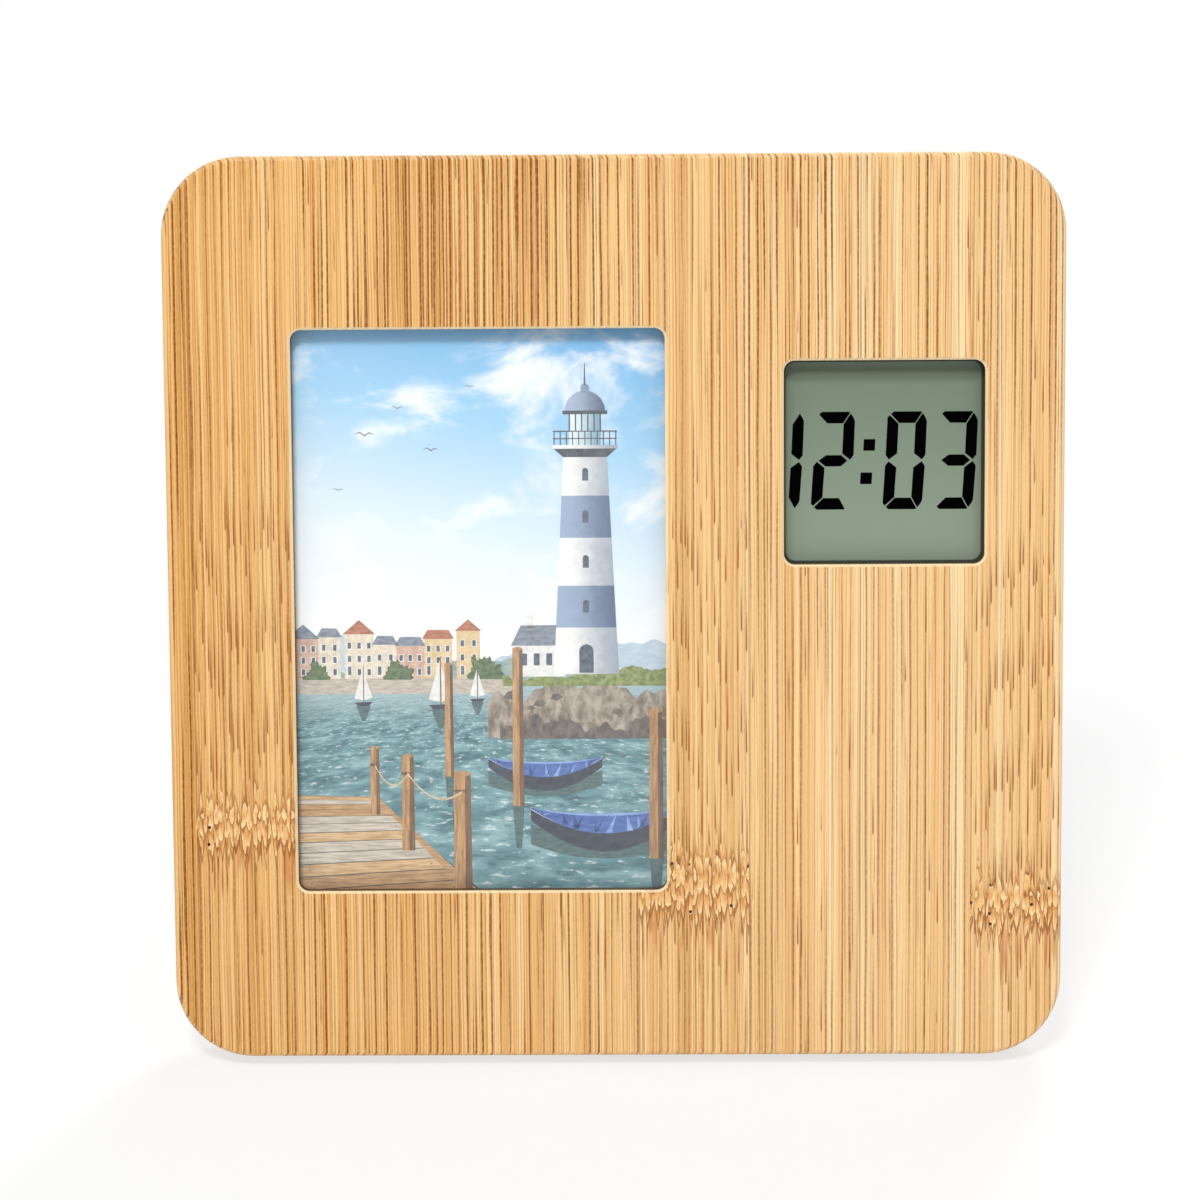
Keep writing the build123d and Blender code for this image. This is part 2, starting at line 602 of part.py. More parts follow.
with BuildPart() as circuit_board_screws:
    with BuildSketch(*[facing_back(x, y, circuit_back) for x, y in circuit_screws]):
        Circle(CIRCUIT_SCREW_HEAD)
    extrude(amount=CIRCUIT_SCREW_HEAD_HEIGHT)
    with BuildSketch(*[facing_back(x, y, circuit_back) for x, y in circuit_screws]):
        Circle(CIRCUIT_SCREW_RADIUS)
    extrude(amount=-CIRCUIT_SCREW_LENGTH)
save(circuit_board_screws, "circuit_board_screws")

chip_x = clock_x + CHIP_PLACE[0]
chip_y = clock_y + CHIP_PLACE[1]
with BuildPart() as chip_cover:
    with BuildSketch(section(chip_x, chip_y)):
        dome_profile(circuit_back, CHIP_RADIUS, CHIP_HEIGHT)
    revolve(axis=depth_axis(chip_x, chip_y))
save(chip_cover, "chip_cover")

crystal_x = clock_x + CRYSTAL_PLACE[0]
crystal_y = clock_y + CRYSTAL_PLACE[1]
crystal_plane = Plane(board_point(crystal_x, crystal_y, circuit_back + CRYSTAL_RADIUS + SOLDER_GAP),
                      x_dir=BOARD_UP, z_dir=RIGHT)
with BuildPart() as quartz_crystal:
    with BuildSketch(crystal_plane):
        Circle(CRYSTAL_RADIUS)
    extrude(amount=CRYSTAL_LENGTH / 2, both=True)
    chamfer(quartz_crystal.edges().filter_by(GeomType.CIRCLE), CRYSTAL_RADIUS / 4)
save(quartz_crystal, "quartz_crystal")

# Button cell: a can with its smaller cap towards the circuit board
with BuildPart() as button_cell:
    with BuildSketch(facing_front(cell_x, cell_y, cell_front)):
        Circle(CELL_CAP_RADIUS)
    extrude(amount=-CELL_HEIGHT)
    with BuildSketch(facing_front(cell_x, cell_y, cell_front + CELL_CAP_HEIGHT)):
        Circle(CELL_RADIUS)
    extrude(amount=-(CELL_HEIGHT - CELL_CAP_HEIGHT))
    chamfer(button_cell.edges().filter_by(GeomType.CIRCLE).sort_by(OUT_OF_FRONT)[0], CELL_EDGE)
save(button_cell, "button_cell")

# Contacts: a bent tongue under the cell's cap, and an upright leaf that touches the side of the can
tab_end = well_radius + WELL_WALL + SOLDER_TAB
tongue_top = CONTACT_RISE - CONTACT_GAP
with BuildPart() as negative_contact:
    with BuildSketch(section(cell_x, cell_y)):
        with Locations((0, circuit_back)):
            Polygon((-tab_end, 0), (-CELL_RADIUS, 0), (-CELL_RADIUS / 4, tongue_top - CONTACT_METAL),
                    (CELL_CAP_RADIUS / 2, tongue_top - CONTACT_METAL), (CELL_CAP_RADIUS / 2, tongue_top),
                    (-CELL_RADIUS / 4, tongue_top), (-CELL_RADIUS, CONTACT_METAL), (-tab_end, CONTACT_METAL),
                    align=None)
    extrude(amount=CONTACT_WIDTH / 2, both=True)
save(negative_contact, "negative_contact")

leaf_side = CELL_RADIUS + CONTACT_GAP
leaf_top = undercut_front - CONTACT_GAP
with BuildPart() as positive_contact:
    with BuildSketch(side_section(cell_x, cell_y)):
        with BuildLine():
            Polyline((leaf_side, leaf_top), (leaf_side, circuit_back), (tab_end, circuit_back),
                     (tab_end, circuit_back + CONTACT_METAL),
                     (leaf_side + CONTACT_METAL, circuit_back + CONTACT_METAL),
                     (leaf_side + CONTACT_METAL, leaf_top), close=True)
        make_face()
    extrude(amount=CONTACT_WIDTH / 2, both=True)
save(positive_contact, "positive_contact")

# Rear case: a box with a flange on the back of the board, button holes,
# and a battery well with a ledge that the cover's two lugs turn under
lug_start = -LUG_ANGLE / 2
notch_start = lug_start - COVER_TURN
with BuildPart() as module_rear_case:
    with BuildSketch(facing_front(clock_x, clock_y, circuit_front)):
        RectangleRounded(module_width, module_height, MODULE_CORNER)
    extrude(amount=-(case_back - circuit_front))
    fillet(module_rear_case.faces().sort_by(OUT_OF_FRONT)[0].edges(), CASE_EDGE_ROUND)
    with BuildSketch(facing_front(clock_x, clock_y, BOARD_THICKNESS)):
        RectangleRounded(flange_width, flange_height, FLANGE_CORNER)
        with GridLocations(0, 2 * ear_y, 1, 2):
            Circle(EAR_RADIUS)
        with GridLocations(0, flange_height + EAR_REACH, 1, 2):
            Rectangle(2 * EAR_RADIUS, EAR_REACH)
    extrude(amount=-FLANGE_THICKNESS)
    with BuildSketch(facing_front(clock_x, clock_y, circuit_front)):
        Rectangle(cavity_width, cavity_height)
    extrude(amount=-(case_inside - circuit_front), mode=Mode.SUBTRACT)
    with BuildSketch(facing_front(cell_x, cell_y, well_front)):
        Circle(well_radius + WELL_WALL)
    extrude(amount=-(case_inside - well_front))
    with BuildSketch(facing_front(cell_x, cell_y, undercut_front - CASE_WALL)):
        Circle(boss_radius)
    extrude(amount=-(case_inside - undercut_front + CASE_WALL))
    with BuildSketch(facing_front(cell_x, cell_y, well_front)):
        Circle(well_radius)
    extrude(amount=-(case_back - well_front), mode=Mode.SUBTRACT)
    with BuildSketch(facing_front(cell_x, cell_y, undercut_front)):
        Circle(ledge_radius)
    extrude(amount=-(case_back - undercut_front), mode=Mode.SUBTRACT)
    with BuildSketch(facing_front(cell_x, cell_y, ledge_back)):
        Circle(recess_radius)
    extrude(amount=-(case_back - ledge_back), mode=Mode.SUBTRACT)
    with BuildSketch(facing_front(cell_x, cell_y, undercut_front)):
        for half_turn in (0, 180):
            ring_sector(well_radius, undercut_radius, half_turn + notch_start - LUG_SIDE_PLAY,
                        COVER_TURN + LUG_ANGLE + 2 * LUG_SIDE_PLAY)
    extrude(amount=-(ledge_front - undercut_front), mode=Mode.SUBTRACT)
    with BuildSketch(facing_front(cell_x, cell_y, ledge_front)):
        for half_turn in (0, 180):
            ring_sector(well_radius, undercut_radius, half_turn + notch_start - LUG_SIDE_PLAY,
                        LUG_ANGLE + 2 * LUG_SIDE_PLAY)
    extrude(amount=-(ledge_back - ledge_front), mode=Mode.SUBTRACT)
    with BuildSketch(facing_front(cell_x, cell_y + leaf_side + CONTACT_METAL / 2, well_front)):
        Rectangle(CONTACT_WIDTH + 2 * CONTACT_SLOT_CLEARANCE, CONTACT_METAL + 2 * CONTACT_SLOT_CLEARANCE)
    extrude(amount=-(undercut_front - well_front), mode=Mode.SUBTRACT)
    with Locations(*[facing_back(clock_x + x, clock_y + y, case_back) for x, y in BUTTON_PLACES.values()]):
        Hole(BUTTON_RADIUS + BUTTON_CLEARANCE, case_back - case_inside)
    with Locations(*[facing_back(x, y, BOARD_THICKNESS + FLANGE_THICKNESS) for x, y in module_screws]):
        Hole(SCREW_RADIUS + PIVOT_CLEARANCE, FLANGE_THICKNESS)
save(module_rear_case, "module_rear_case")

screws("module_screws", module_screws, BOARD_THICKNESS + FLANGE_THICKNESS)

# Battery cover: a disc with a coin slot, a hub that drops into the well and two locking lugs
with BuildPart() as battery_cover:
    with BuildSketch(facing_front(cell_x, cell_y, cover_front)):
        Circle(cover_radius)
    extrude(amount=-COVER_DISC)
    chamfer(battery_cover.edges().filter_by(GeomType.CIRCLE).sort_by(OUT_OF_FRONT)[0], COVER_CLEARANCE)
    with BuildSketch(facing_front(cell_x, cell_y, lug_front)):
        Circle(hub_radius)
        Circle(hub_inside, mode=Mode.SUBTRACT)
    extrude(amount=-(cover_front - lug_front))
    with BuildSketch(facing_front(cell_x, cell_y, lug_front)):
        for half_turn in (0, 180):
            ring_sector(hub_inside, lug_radius, half_turn + lug_start, LUG_ANGLE)
    extrude(amount=-LUG_THICKNESS)
    with BuildSketch(facing_front(cell_x, cell_y, cover_front)):
        Circle(COVER_BOSS_RADIUS)
    extrude(amount=COVER_BOSS_HEIGHT)
    with BuildSketch(facing_back(cell_x, cell_y, cover_back)):
        SlotOverall(COIN_SLOT_LENGTH, COIN_SLOT_WIDTH)
    extrude(amount=-COIN_SLOT_DEPTH, mode=Mode.SUBTRACT)
save(battery_cover, "battery_cover")

# Push buttons: a round cap kept in by a flange under the case, with a stem that reaches for the switch
flange_back = case_inside - SLIDE_GAP
flange_front = flange_back - BUTTON_FLANGE_THICKNESS
button_flange = BUTTON_RADIUS + BUTTON_FLANGE_REACH
button_top = case_back + BUTTON_PROUD
for name, (x, y) in BUTTON_PLACES.items():
    with BuildPart() as button:
        with BuildSketch(section(clock_x + x, clock_y + y)):
            with BuildLine():
                Polyline((0, button_top), (0, stem_front), (BUTTON_STEM_RADIUS, stem_front),
                         (BUTTON_STEM_RADIUS, flange_front), (button_flange, flange_front),
                         (button_flange, flange_back), (BUTTON_RADIUS, flange_back),
                         (BUTTON_RADIUS, button_top), close=True)
            make_face()
        revolve(axis=depth_axis(clock_x + x, clock_y + y))
        chamfer(button.edges().filter_by(GeomType.CIRCLE).sort_by(OUT_OF_FRONT)[0], BUTTON_EDGE)
    save(button, name)

with BuildPart() as switch_domes:
    for x, y in BUTTON_PLACES.values():
        with BuildSketch(section(clock_x + x, clock_y + y)):
            dome_profile(circuit_back, DOME_RADIUS, DOME_HEIGHT)
        revolve(axis=depth_axis(clock_x + x, clock_y + y))
save(switch_domes, "switch_domes")
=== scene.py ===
import math
import random
from functools import partial

import bmesh
import bpy
from mathutils import Matrix, Vector


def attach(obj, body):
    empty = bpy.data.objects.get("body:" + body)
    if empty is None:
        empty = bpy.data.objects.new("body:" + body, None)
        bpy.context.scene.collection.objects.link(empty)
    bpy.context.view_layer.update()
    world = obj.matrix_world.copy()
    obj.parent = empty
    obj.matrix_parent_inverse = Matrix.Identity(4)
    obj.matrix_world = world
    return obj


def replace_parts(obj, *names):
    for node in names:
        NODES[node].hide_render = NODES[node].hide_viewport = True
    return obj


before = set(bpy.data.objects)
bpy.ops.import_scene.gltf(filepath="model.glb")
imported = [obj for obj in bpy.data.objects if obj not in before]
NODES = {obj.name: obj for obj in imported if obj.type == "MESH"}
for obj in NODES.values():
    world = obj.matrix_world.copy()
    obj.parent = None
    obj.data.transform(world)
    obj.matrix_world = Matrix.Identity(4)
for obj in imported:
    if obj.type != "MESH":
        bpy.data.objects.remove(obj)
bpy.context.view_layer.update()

MM = 0.001

# The board leans back, and the leg leans forward against it
LEAN = math.radians(14)
LEG_LEAN = math.radians(-13)


def directions(lean):
    """Up and back along a piece that leans back."""
    return Vector((0, math.sin(lean), math.cos(lean))), Vector((0, math.cos(lean), -math.sin(lean)))


RIGHT = Vector((1, 0, 0))
BOARD_UP, BOARD_BACK = directions(LEAN)


def span(node, lean=LEAN):
    """Lowest and highest corner of a node in metres: across, up and back along a piece that leans."""
    up, back = directions(lean)
    corners = [(v.co.x, v.co.dot(up), v.co.dot(back)) for v in NODES[node].data.vertices]
    return Vector(map(min, zip(*corners))), Vector(map(max, zip(*corners)))


BOARD_LOW, BOARD_HIGH = span("bamboo_board")
BOARD_WIDTH = (BOARD_HIGH.x - BOARD_LOW.x) / MM
BOARD_HEIGHT = (BOARD_HIGH.y - BOARD_LOW.y) / MM


def extent(node):
    """Lowest and highest corner of a node on the board in millimetres."""
    return [(corner - BOARD_LOW) / MM for corner in span(node)]


def on_board(across, up, depth):
    """A place in metres from millimetres: from the left edge, from the lower edge and behind the front."""
    return (RIGHT * (BOARD_LOW.x + across * MM) + BOARD_UP * (BOARD_LOW.y + up * MM)
            + BOARD_BACK * (BOARD_LOW.z + depth * MM))


def srgb(red, green, blue):
    """A colour as it looks on a screen, from 0 to 255, made linear for the shader."""
    linear = [((c / 255 + 0.055) / 1.055) ** 2.4 if c > 10 else c / 255 / 12.92 for c in (red, green, blue)]
    return (*linear, 1.0)


class Nodes:
    """A node tree under construction: each call adds nodes and returns their output."""

    def __init__(self, owner):
        owner.use_nodes = True
        self.tree = owner.node_tree

    def feed(self, socket, value):
        if isinstance(value, bpy.types.NodeSocket):
            self.tree.links.new(value, socket)
        else:
            socket.default_value = value

    def add(self, kind, values, output=0, **settings):
        node = self.tree.nodes.new("ShaderNode" + kind)
        for key, value in settings.items():
            setattr(node, key, value)
        for socket, value in values.items():
            self.feed(node.inputs[socket], value)
        return node.outputs[output]

    def math(self, operation, first, second=0.0, third=0.0):
        return self.add("Math", {0: first, 1: second, 2: third}, operation=operation)

    def times(self, *values):
        result = values[0]
        for value in values[1:]:
            result = self.math("MULTIPLY", result, value)
        return result

    def weighted(self, base, *parts):
        """A base plus some values, each times its weight."""
        result = base
        for value, weight in parts:
            result = self.math("MULTIPLY_ADD", value, weight, result)
        return result

    def without(self, share, value):
        """1 where the value is 0, and less by a share where it is 1."""
        return self.weighted(1.0, (value, -share))

    def fade(self, value, start, end):
        """A smooth step from 0 to 1 as the value goes from start to end."""
        return self.add("MapRange", {"Value": value, "From Min": start, "From Max": end},
                        interpolation_type="SMOOTHSTEP")

    def off(self, value, middle):
        """How far a value is from a middle, either way."""
        return self.math("ABSOLUTE", self.math("SUBTRACT", value, middle))

    def band(self, value, middle, reach, soft):
        """1 where the value is within reach of the middle, falling to 0 over the soft edge."""
        return self.fade(self.off(value, middle), reach + soft, reach)

    def mix(self, amount, first, second):
        return self.add("Mix", {0: amount, 6: first, 7: second}, 2, data_type="RGBA")

    def tint(self, color, amount, share, over):
        """Lay a colour over another where the amount is high; the share is its cover there."""
        return self.mix(self.math("MULTIPLY", amount, share), color, over)

    def ramp(self, amount, stops):
        """Colours along a value: each stop is a place from 0 to 1 and a colour."""
        output = self.add("ValToRGB", {"Fac": amount})
        elements = output.node.color_ramp.elements
        for position, color in stops[2:]:
            elements.new(position)
        for element, (position, color) in zip(elements, stops):
            element.position = position
            element.color = color
        return output

    def split(self, vector):
        return self.add("SeparateXYZ", {0: vector}).node.outputs[:3]

    def join(self, x, y, z):
        return self.add("CombineXYZ", {0: x, 1: y, 2: z})

    def noise(self, place, scale, detail=2.0, roughness=0.5, distortion=0.0):
        """Noise at a place; the scale gives its waves per millimetre, for all axes or for each."""
        waves = scale if isinstance(scale, tuple) else (scale, scale, scale)
        scaled = self.add("VectorMath", {0: place, 1: waves}, operation="MULTIPLY")
        return self.add("TexNoise", {"Vector": scaled, "Scale": 1.0, "Detail": detail,
                                     "Roughness": roughness, "Distortion": distortion})

    def wave(self, place, scale, **settings):
        """Noise that swings about zero."""
        return self.math("SUBTRACT", self.noise(place, scale, **settings), 0.5)

    def lanes(self, place, count, feature, output="Distance"):
        """Lanes side by side, of uneven width, with a count of them per millimetre."""
        return self.add("TexVoronoi", {"W": place, "Scale": count}, output, voronoi_dimensions="1D",
                        feature=feature)

    def place_on(self, low=BOARD_LOW, lean=LEAN):
        """Millimetres on the board, or on a piece with its own low corner and lean: across, back and up."""
        coordinates = self.add("TexCoord", {}, "Object")
        origin = (-low.x / MM, -low.z / MM, -low.y / MM)
        return self.add("Mapping", {"Vector": coordinates, "Location": origin, "Rotation": (lean, 0, 0),
                                    "Scale": (1 / MM, 1 / MM, 1 / MM)})

    def facing(self, direction):
        """How far the surface looks in a direction of the object, from -1 to 1."""
        normal = self.add("TexCoord", {}, "Normal")
        return self.add("VectorMath", {0: normal, 1: direction}, "Value", operation="DOT_PRODUCT")

    def white_rays(self):
        """1 for rays that meet the white background: from the camera, mirrored or passed through."""
        rays = self.add("LightPath", {}).node.outputs
        bounced = self.math("MAXIMUM", rays["Is Glossy Ray"], rays["Is Transmission Ray"])
        return self.math("MAXIMUM", rays["Is Camera Ray"], bounced)


class Finish(Nodes):
    """A procedural material."""

    def __init__(self, name):
        self.material = bpy.data.materials.new(name)
        super().__init__(self.material)
        self.shader = self.tree.nodes["Principled BSDF"]

    def dress(self, color, roughness, relief=None, depth=0.0, **values):
        """Set the surface: colour, roughness, the relief's depth in metres and other shader values."""
        self.feed(self.shader.inputs["Base Color"], color)
        self.feed(self.shader.inputs["Roughness"], roughness)
        if relief is not None:
            bump = self.add("Bump", {"Distance": depth, "Height": relief})
            self.feed(self.shader.inputs["Normal"], bump)
        for name, value in values.items():
            self.feed(self.shader.inputs[name.replace("_", " ")], value)
        return self.material


# Bamboo: strips glued side by side in two layers; a knuckle has a strip number, a height and half a length
STRIP_WIDTH = 18.4
STRIP_START = 4.0
LAYER_DEPTH = 5.0
REAR_STRIPS = 20.5
KNUCKLES = {0: (41.2, 4.2), 4: (30.8, 5.2), 7: (27.2, 4.2), 22: (104.0, 5.0), 26: (58.0, 5.0),
            28: (96.0, 4.6)}
STRIP_APART = 71.0
FIBRE_APART = 240.0
TEETH_APART = 31.0
WOOD_RELIEF = 0.04 * MM

# Counts and waves per millimetre; waves are across, through and along the board
TEETH = 1.15
SCALES = 1.25
SCALE_LENGTH = 3.8
STRONG_LINES = 0.78
THIN_LINES = 1.7
FINE_LINES = 2.1
COARSE_FIBRES = 1.15
FINE_FIBRES = 2.7
DASH_LANES = 1.5
DASH_PITCH = 17.0
PIN_HOLES = 0.3
FIBRE_SWAY = (0.25, 0.25, 0.03)
KNUCKLE_TWIST = (0.5, 0.5, 0.22)
BROAD_TONE = (0.17, 0.17, 0.004)
HAIR = (4.6, 4.6, 0.02)
FLECKS = (3.2, 3.2, 0.9)
LINE_GROUPS = (0.22, 0.22, 0.006)
LINE_RUNS = (1.1, 1.1, 0.014)
THIN_RUNS = (1.9, 1.9, 0.022)
BEADS = (2.0, 2.0, 1.2)
DASH_PRESENCE = (0.5, 0.5, 0.03)
END_PORES = 2.0
SCALE_MOTTLE = (1.6, 1.6, 0.5)
SCALE_BREAKS = (1.2, 1.2, 0.30)
STAINS = (0.55, 0.55, 0.06)

WOOD_TONES = ((0.0, srgb(193, 134, 66)), (0.30, srgb(223, 171, 104)), (0.60, srgb(238, 195, 132)),
              (1.0, srgb(252, 227, 176)))
SCALE_TONES = ((0.0, srgb(192, 128, 68)), (0.35, srgb(222, 166, 102)), (0.75, srgb(240, 194, 134)),
               (1.0, srgb(252, 222, 168)))
PALE_WOOD = srgb(240, 207, 166)
FINE_LINE = srgb(172, 106, 34)
STRONG_LINE = srgb(130, 68, 8)
DASH = srgb(148, 84, 24)
END_PORE = srgb(160, 100, 42)
GLUE_SEAM = srgb(150, 94, 42)
STAIN = srgb(190, 116, 60)
FIBRE_GAP = srgb(142, 80, 24)
EASED_EDGE = srgb(255, 233, 190)
SCORCHED = srgb(52, 34, 20)


class Bamboo(Finish):
    """Bamboo under a satin lacquer: each step lays the marks that later steps colour."""

    def __init__(self, node, lean):
        super().__init__(node + "_satin")
        self.place = self.place_on(span(node, lean)[0], lean)
        self.across, self.depth, self.up = self.split(self.place)
        self.round = self.math("ADD", self.across, self.depth)
        self.paler = self.fade(self.across, 20.0, 125.0)
        self.ends = self.fade(self.math("ABSOLUTE", self.facing(BOARD_UP)), 0.75, 0.92)
        self.lay_strips()
        self.lay_knuckles()
        self.lay_fibres()
        self.lay_lines()
        self.lay_pin_holes()

    def lay_strips(self):
        rear = self.math("GREATER_THAN", self.depth, LAYER_DEPTH)
        strips = self.math("DIVIDE", self.math("SUBTRACT", self.across, STRIP_START), STRIP_WIDTH)
        strips = self.weighted(strips, (rear, REAR_STRIPS))
        self.strip = self.math("FLOOR", strips)
        self.seam = self.band(self.math("FRACT", strips), 0.0, 0.006, 0.012)
        chance = self.add("TexWhiteNoise", {"W": self.strip}, "Color", noise_dimensions="1D")
        self.tone, self.shift, self.dashed = self.split(chance)

    def lay_knuckles(self):
        """Where a knuckle crosses its strip, the fibres end in teeth above and below."""
        away = self.lanes(self.weighted(self.round, (self.strip, TEETH_APART)), TEETH, "F1")
        hang_chance, rise_chance, _ = self.split(away.node.outputs["Color"])
        tooth = self.weighted(1.0, (away, -2.0))
        hang = self.times(tooth, self.weighted(1.0, (hang_chance, 4.0)))
        rise = self.times(tooth, self.weighted(1.0, (rise_chance, 6.0)))
        self.knuckle = self.knuckle_edge = self.knuckle_strip = self.over_middle = 0.0
        for number, (middle, reach) in KNUCKLES.items():
            here = self.math("COMPARE", self.strip, number, 0.5)
            height = self.math("SUBTRACT", self.up, middle)
            over_foot = self.weighted(reach, (height, 1.0), (hang, 1.0))
            under_top = self.weighted(reach - 3.0, (height, -1.0), (rise, 1.0))
            inside = self.times(self.fade(over_foot, 0.0, 0.4), self.fade(under_top, 0.0, 1.2))
            edge = self.math("MAXIMUM", self.band(over_foot, -0.5, 0.35, 0.6),
                             self.times(self.band(under_top, 0.0, 0.25, 0.6), 0.6))
            self.knuckle = self.weighted(self.knuckle, (here, inside))
            self.knuckle_edge = self.weighted(self.knuckle_edge, (here, edge))
            self.knuckle_strip = self.math("ADD", self.knuckle_strip, here)
            self.over_middle = self.weighted(self.over_middle, (here, height))
        self.above_knuckle = self.times(self.knuckle_strip, self.fade(self.over_middle, -25.0, 0.0),
                                        self.fade(self.over_middle, 75.0, 40.0))

    def lay_fibres(self):
        """Fibres run straight up the board and bend only inside a knuckle."""
        sway = self.wave(self.place, FIBRE_SWAY)
        twist = self.times(self.wave(self.place, KNUCKLE_TWIST), self.knuckle)
        self.lane = self.weighted(self.round, (self.shift, STRIP_APART), (sway, 0.5), (twist, 1.2))
        self.grain = self.join(self.lane, self.depth, self.weighted(self.up, (self.tone, FIBRE_APART)))
        self.hair = self.noise(self.grain, HAIR, roughness=0.6)
        self.streaks = self.times(self.band(self.across, 50.0, 6.0, 16.0), self.fade(self.up, 30.0, 140.0))

    def lay_lines(self):
        """Dark lines between fibres, which come and go along their length, and short dashes."""
        calm = self.times(self.paler, self.fade(self.up, 130.0, 85.0))
        plain = self.times(self.without(0.12, self.knuckle_strip), self.without(0.20, self.above_knuckle),
                           self.without(0.30, calm), self.without(0.85, self.ends))
        groups = self.weighted(0.0, (self.wave(self.grain, LINE_GROUPS), 0.18), (self.streaks, 0.10))
        runs = self.math("ADD", self.noise(self.grain, LINE_RUNS), groups)
        thin_runs = self.math("ADD", self.noise(self.grain, THIN_RUNS), groups)
        strong = self.fade(self.lanes(self.lane, STRONG_LINES, "DISTANCE_TO_EDGE"), 0.17, 0.07)
        thin = self.fade(self.lanes(self.lane, THIN_LINES, "DISTANCE_TO_EDGE"), 0.24, 0.10)
        lines = self.math("MAXIMUM", self.times(strong, self.fade(runs, 0.41, 0.54)),
                          self.times(thin, self.fade(thin_runs, 0.58, 0.66)))
        beads = self.fade(self.noise(self.grain, BEADS), 0.35, 0.60)
        self.strong_lines = self.times(lines, plain, self.weighted(0.72, (beads, 0.28)))
        fine = self.fade(self.lanes(self.lane, FINE_LINES, "DISTANCE_TO_EDGE"), 0.28, 0.12)
        self.fine_lines = self.times(fine, self.fade(self.hair, 0.38, 0.56), plain)
        self.lay_dashes()

    def lay_dashes(self):
        """Short dashes, sharp at the lower end and fading upwards, most of them above a knuckle."""
        away = self.lanes(self.lane, DASH_LANES, "F1")
        chance, start, _ = self.split(away.node.outputs["Color"])
        along = self.math("FRACT", self.weighted(self.math("DIVIDE", self.up, DASH_PITCH), (start, 9.0)))
        presence = self.weighted(self.noise(self.grain, DASH_PRESENCE), (chance, 0.35),
                                 (self.above_knuckle, 0.34), (self.dashed, 0.06))
        self.dashes = self.times(self.fade(away, 0.27, 0.09), self.fade(along, 0.0, 0.05),
                                 self.fade(along, 0.60, 0.12), self.fade(presence, 0.82, 0.94))

    def lay_pin_holes(self):
        """A few small round holes inside the knuckles."""
        face = self.join(self.round, self.up, 0.0)
        away = self.add("TexVoronoi", {"Vector": face, "Scale": PIN_HOLES}, voronoi_dimensions="2D")
        rare = self.math("GREATER_THAN", self.split(away.node.outputs["Color"])[0], 0.78)
        self.pin_holes = self.times(self.fade(away, 0.10, 0.06), rare, self.knuckle)

    def wood_color(self):
        """The body of the wood, then its marks from the palest to the darkest."""
        coarse = self.split(self.lanes(self.lane, COARSE_FIBRES, "F1", "Color"))[0]
        fine = self.split(self.lanes(self.lane, FINE_FIBRES, "F1", "Color"))[0]
        broad = self.noise(self.grain, BROAD_TONE)
        flecks = self.wave(self.grain, FLECKS, roughness=0.6)
        body = self.weighted(-0.31, (broad, 0.42), (coarse, 0.34), (fine, 0.30), (flecks, 0.35),
                             (self.hair, 0.30), (self.tone, 0.12), (self.paler, 0.18),
                             (self.streaks, -0.08))
        pores = self.times(self.fade(self.noise(self.place, END_PORES), 0.54, 0.66), self.ends)
        color = self.tint(self.ramp(body, WOOD_TONES), self.paler, 0.22, PALE_WOOD)
        color = self.tint(color, self.fine_lines, 0.58, FINE_LINE)
        color = self.tint(color, self.strong_lines, 0.98, STRONG_LINE)
        color = self.tint(color, self.dashes, 0.90, DASH)
        color = self.tint(color, pores, 0.70, END_PORE)
        return self.tint(color, self.seam, 0.60, GLUE_SEAM)

    def scale_color(self):
        """Inside a knuckle the ends of fibres overlap like scales and point away from its middle."""
        away = self.lanes(self.lane, SCALES, "F1")
        chance, darkness, _ = self.split(away.node.outputs["Color"])
        along = self.math("DIVIDE", self.math("ABSOLUTE", self.over_middle), SCALE_LENGTH)
        mottle = self.wave(self.grain, SCALE_MOTTLE, detail=3.0, roughness=0.6)
        scale = self.math("FRACT", self.weighted(along, (chance, 7.0), (away, 0.5), (mottle, 0.9)))
        color = self.ramp(self.weighted(scale, (mottle, 0.9)), SCALE_TONES)
        under_tip = self.times(self.fade(scale, 0.34, 0.05), self.fade(darkness, 0.15, 0.7))
        between = self.times(self.fade(self.lanes(self.lane, SCALES, "DISTANCE_TO_EDGE"), 0.20, 0.06),
                             self.fade(self.noise(self.grain, SCALE_BREAKS), 0.42, 0.56))
        return self.tint(color, self.math("MAXIMUM", under_tip, between), 0.90, FIBRE_GAP)

    def with_knuckles(self, color):
        """A stain under each knuckle, its scales, its toothed edge and its pin holes."""
        stain = self.times(self.band(self.over_middle, -8.5, 2.0, 4.0), self.knuckle_strip,
                           self.fade(self.noise(self.grain, STAINS), 0.50, 0.62))
        color = self.tint(color, stain, 0.60, STAIN)
        color = self.tint(color, self.knuckle, 0.92, self.scale_color())
        color = self.tint(color, self.knuckle_edge, 0.75, FIBRE_GAP)
        return self.mix(self.pin_holes, color, SCORCHED)

    def with_edges(self, color):
        """Eased edges are pale, and the walls of the two windows are scorched by the cutter."""
        front = self.facing(-BOARD_BACK)
        sides = ((self.across, BOARD_WIDTH / 2), (self.up, BOARD_HEIGHT / 2))
        insets = [self.math("SUBTRACT", middle, self.off(value, middle)) for value, middle in sides]
        inset = self.math("MINIMUM", *insets)
        inner = self.fade(inset, 6.0, 7.0)
        eased = self.times(self.band(front, 0.70, 0.14, 0.18), self.weighted(0.15, (inner, 0.55)))
        wall = self.times(self.band(front, 0.0, 0.25, 0.15), inner)
        return self.tint(self.mix(eased, color, EASED_EDGE), wall, 0.9, SCORCHED)

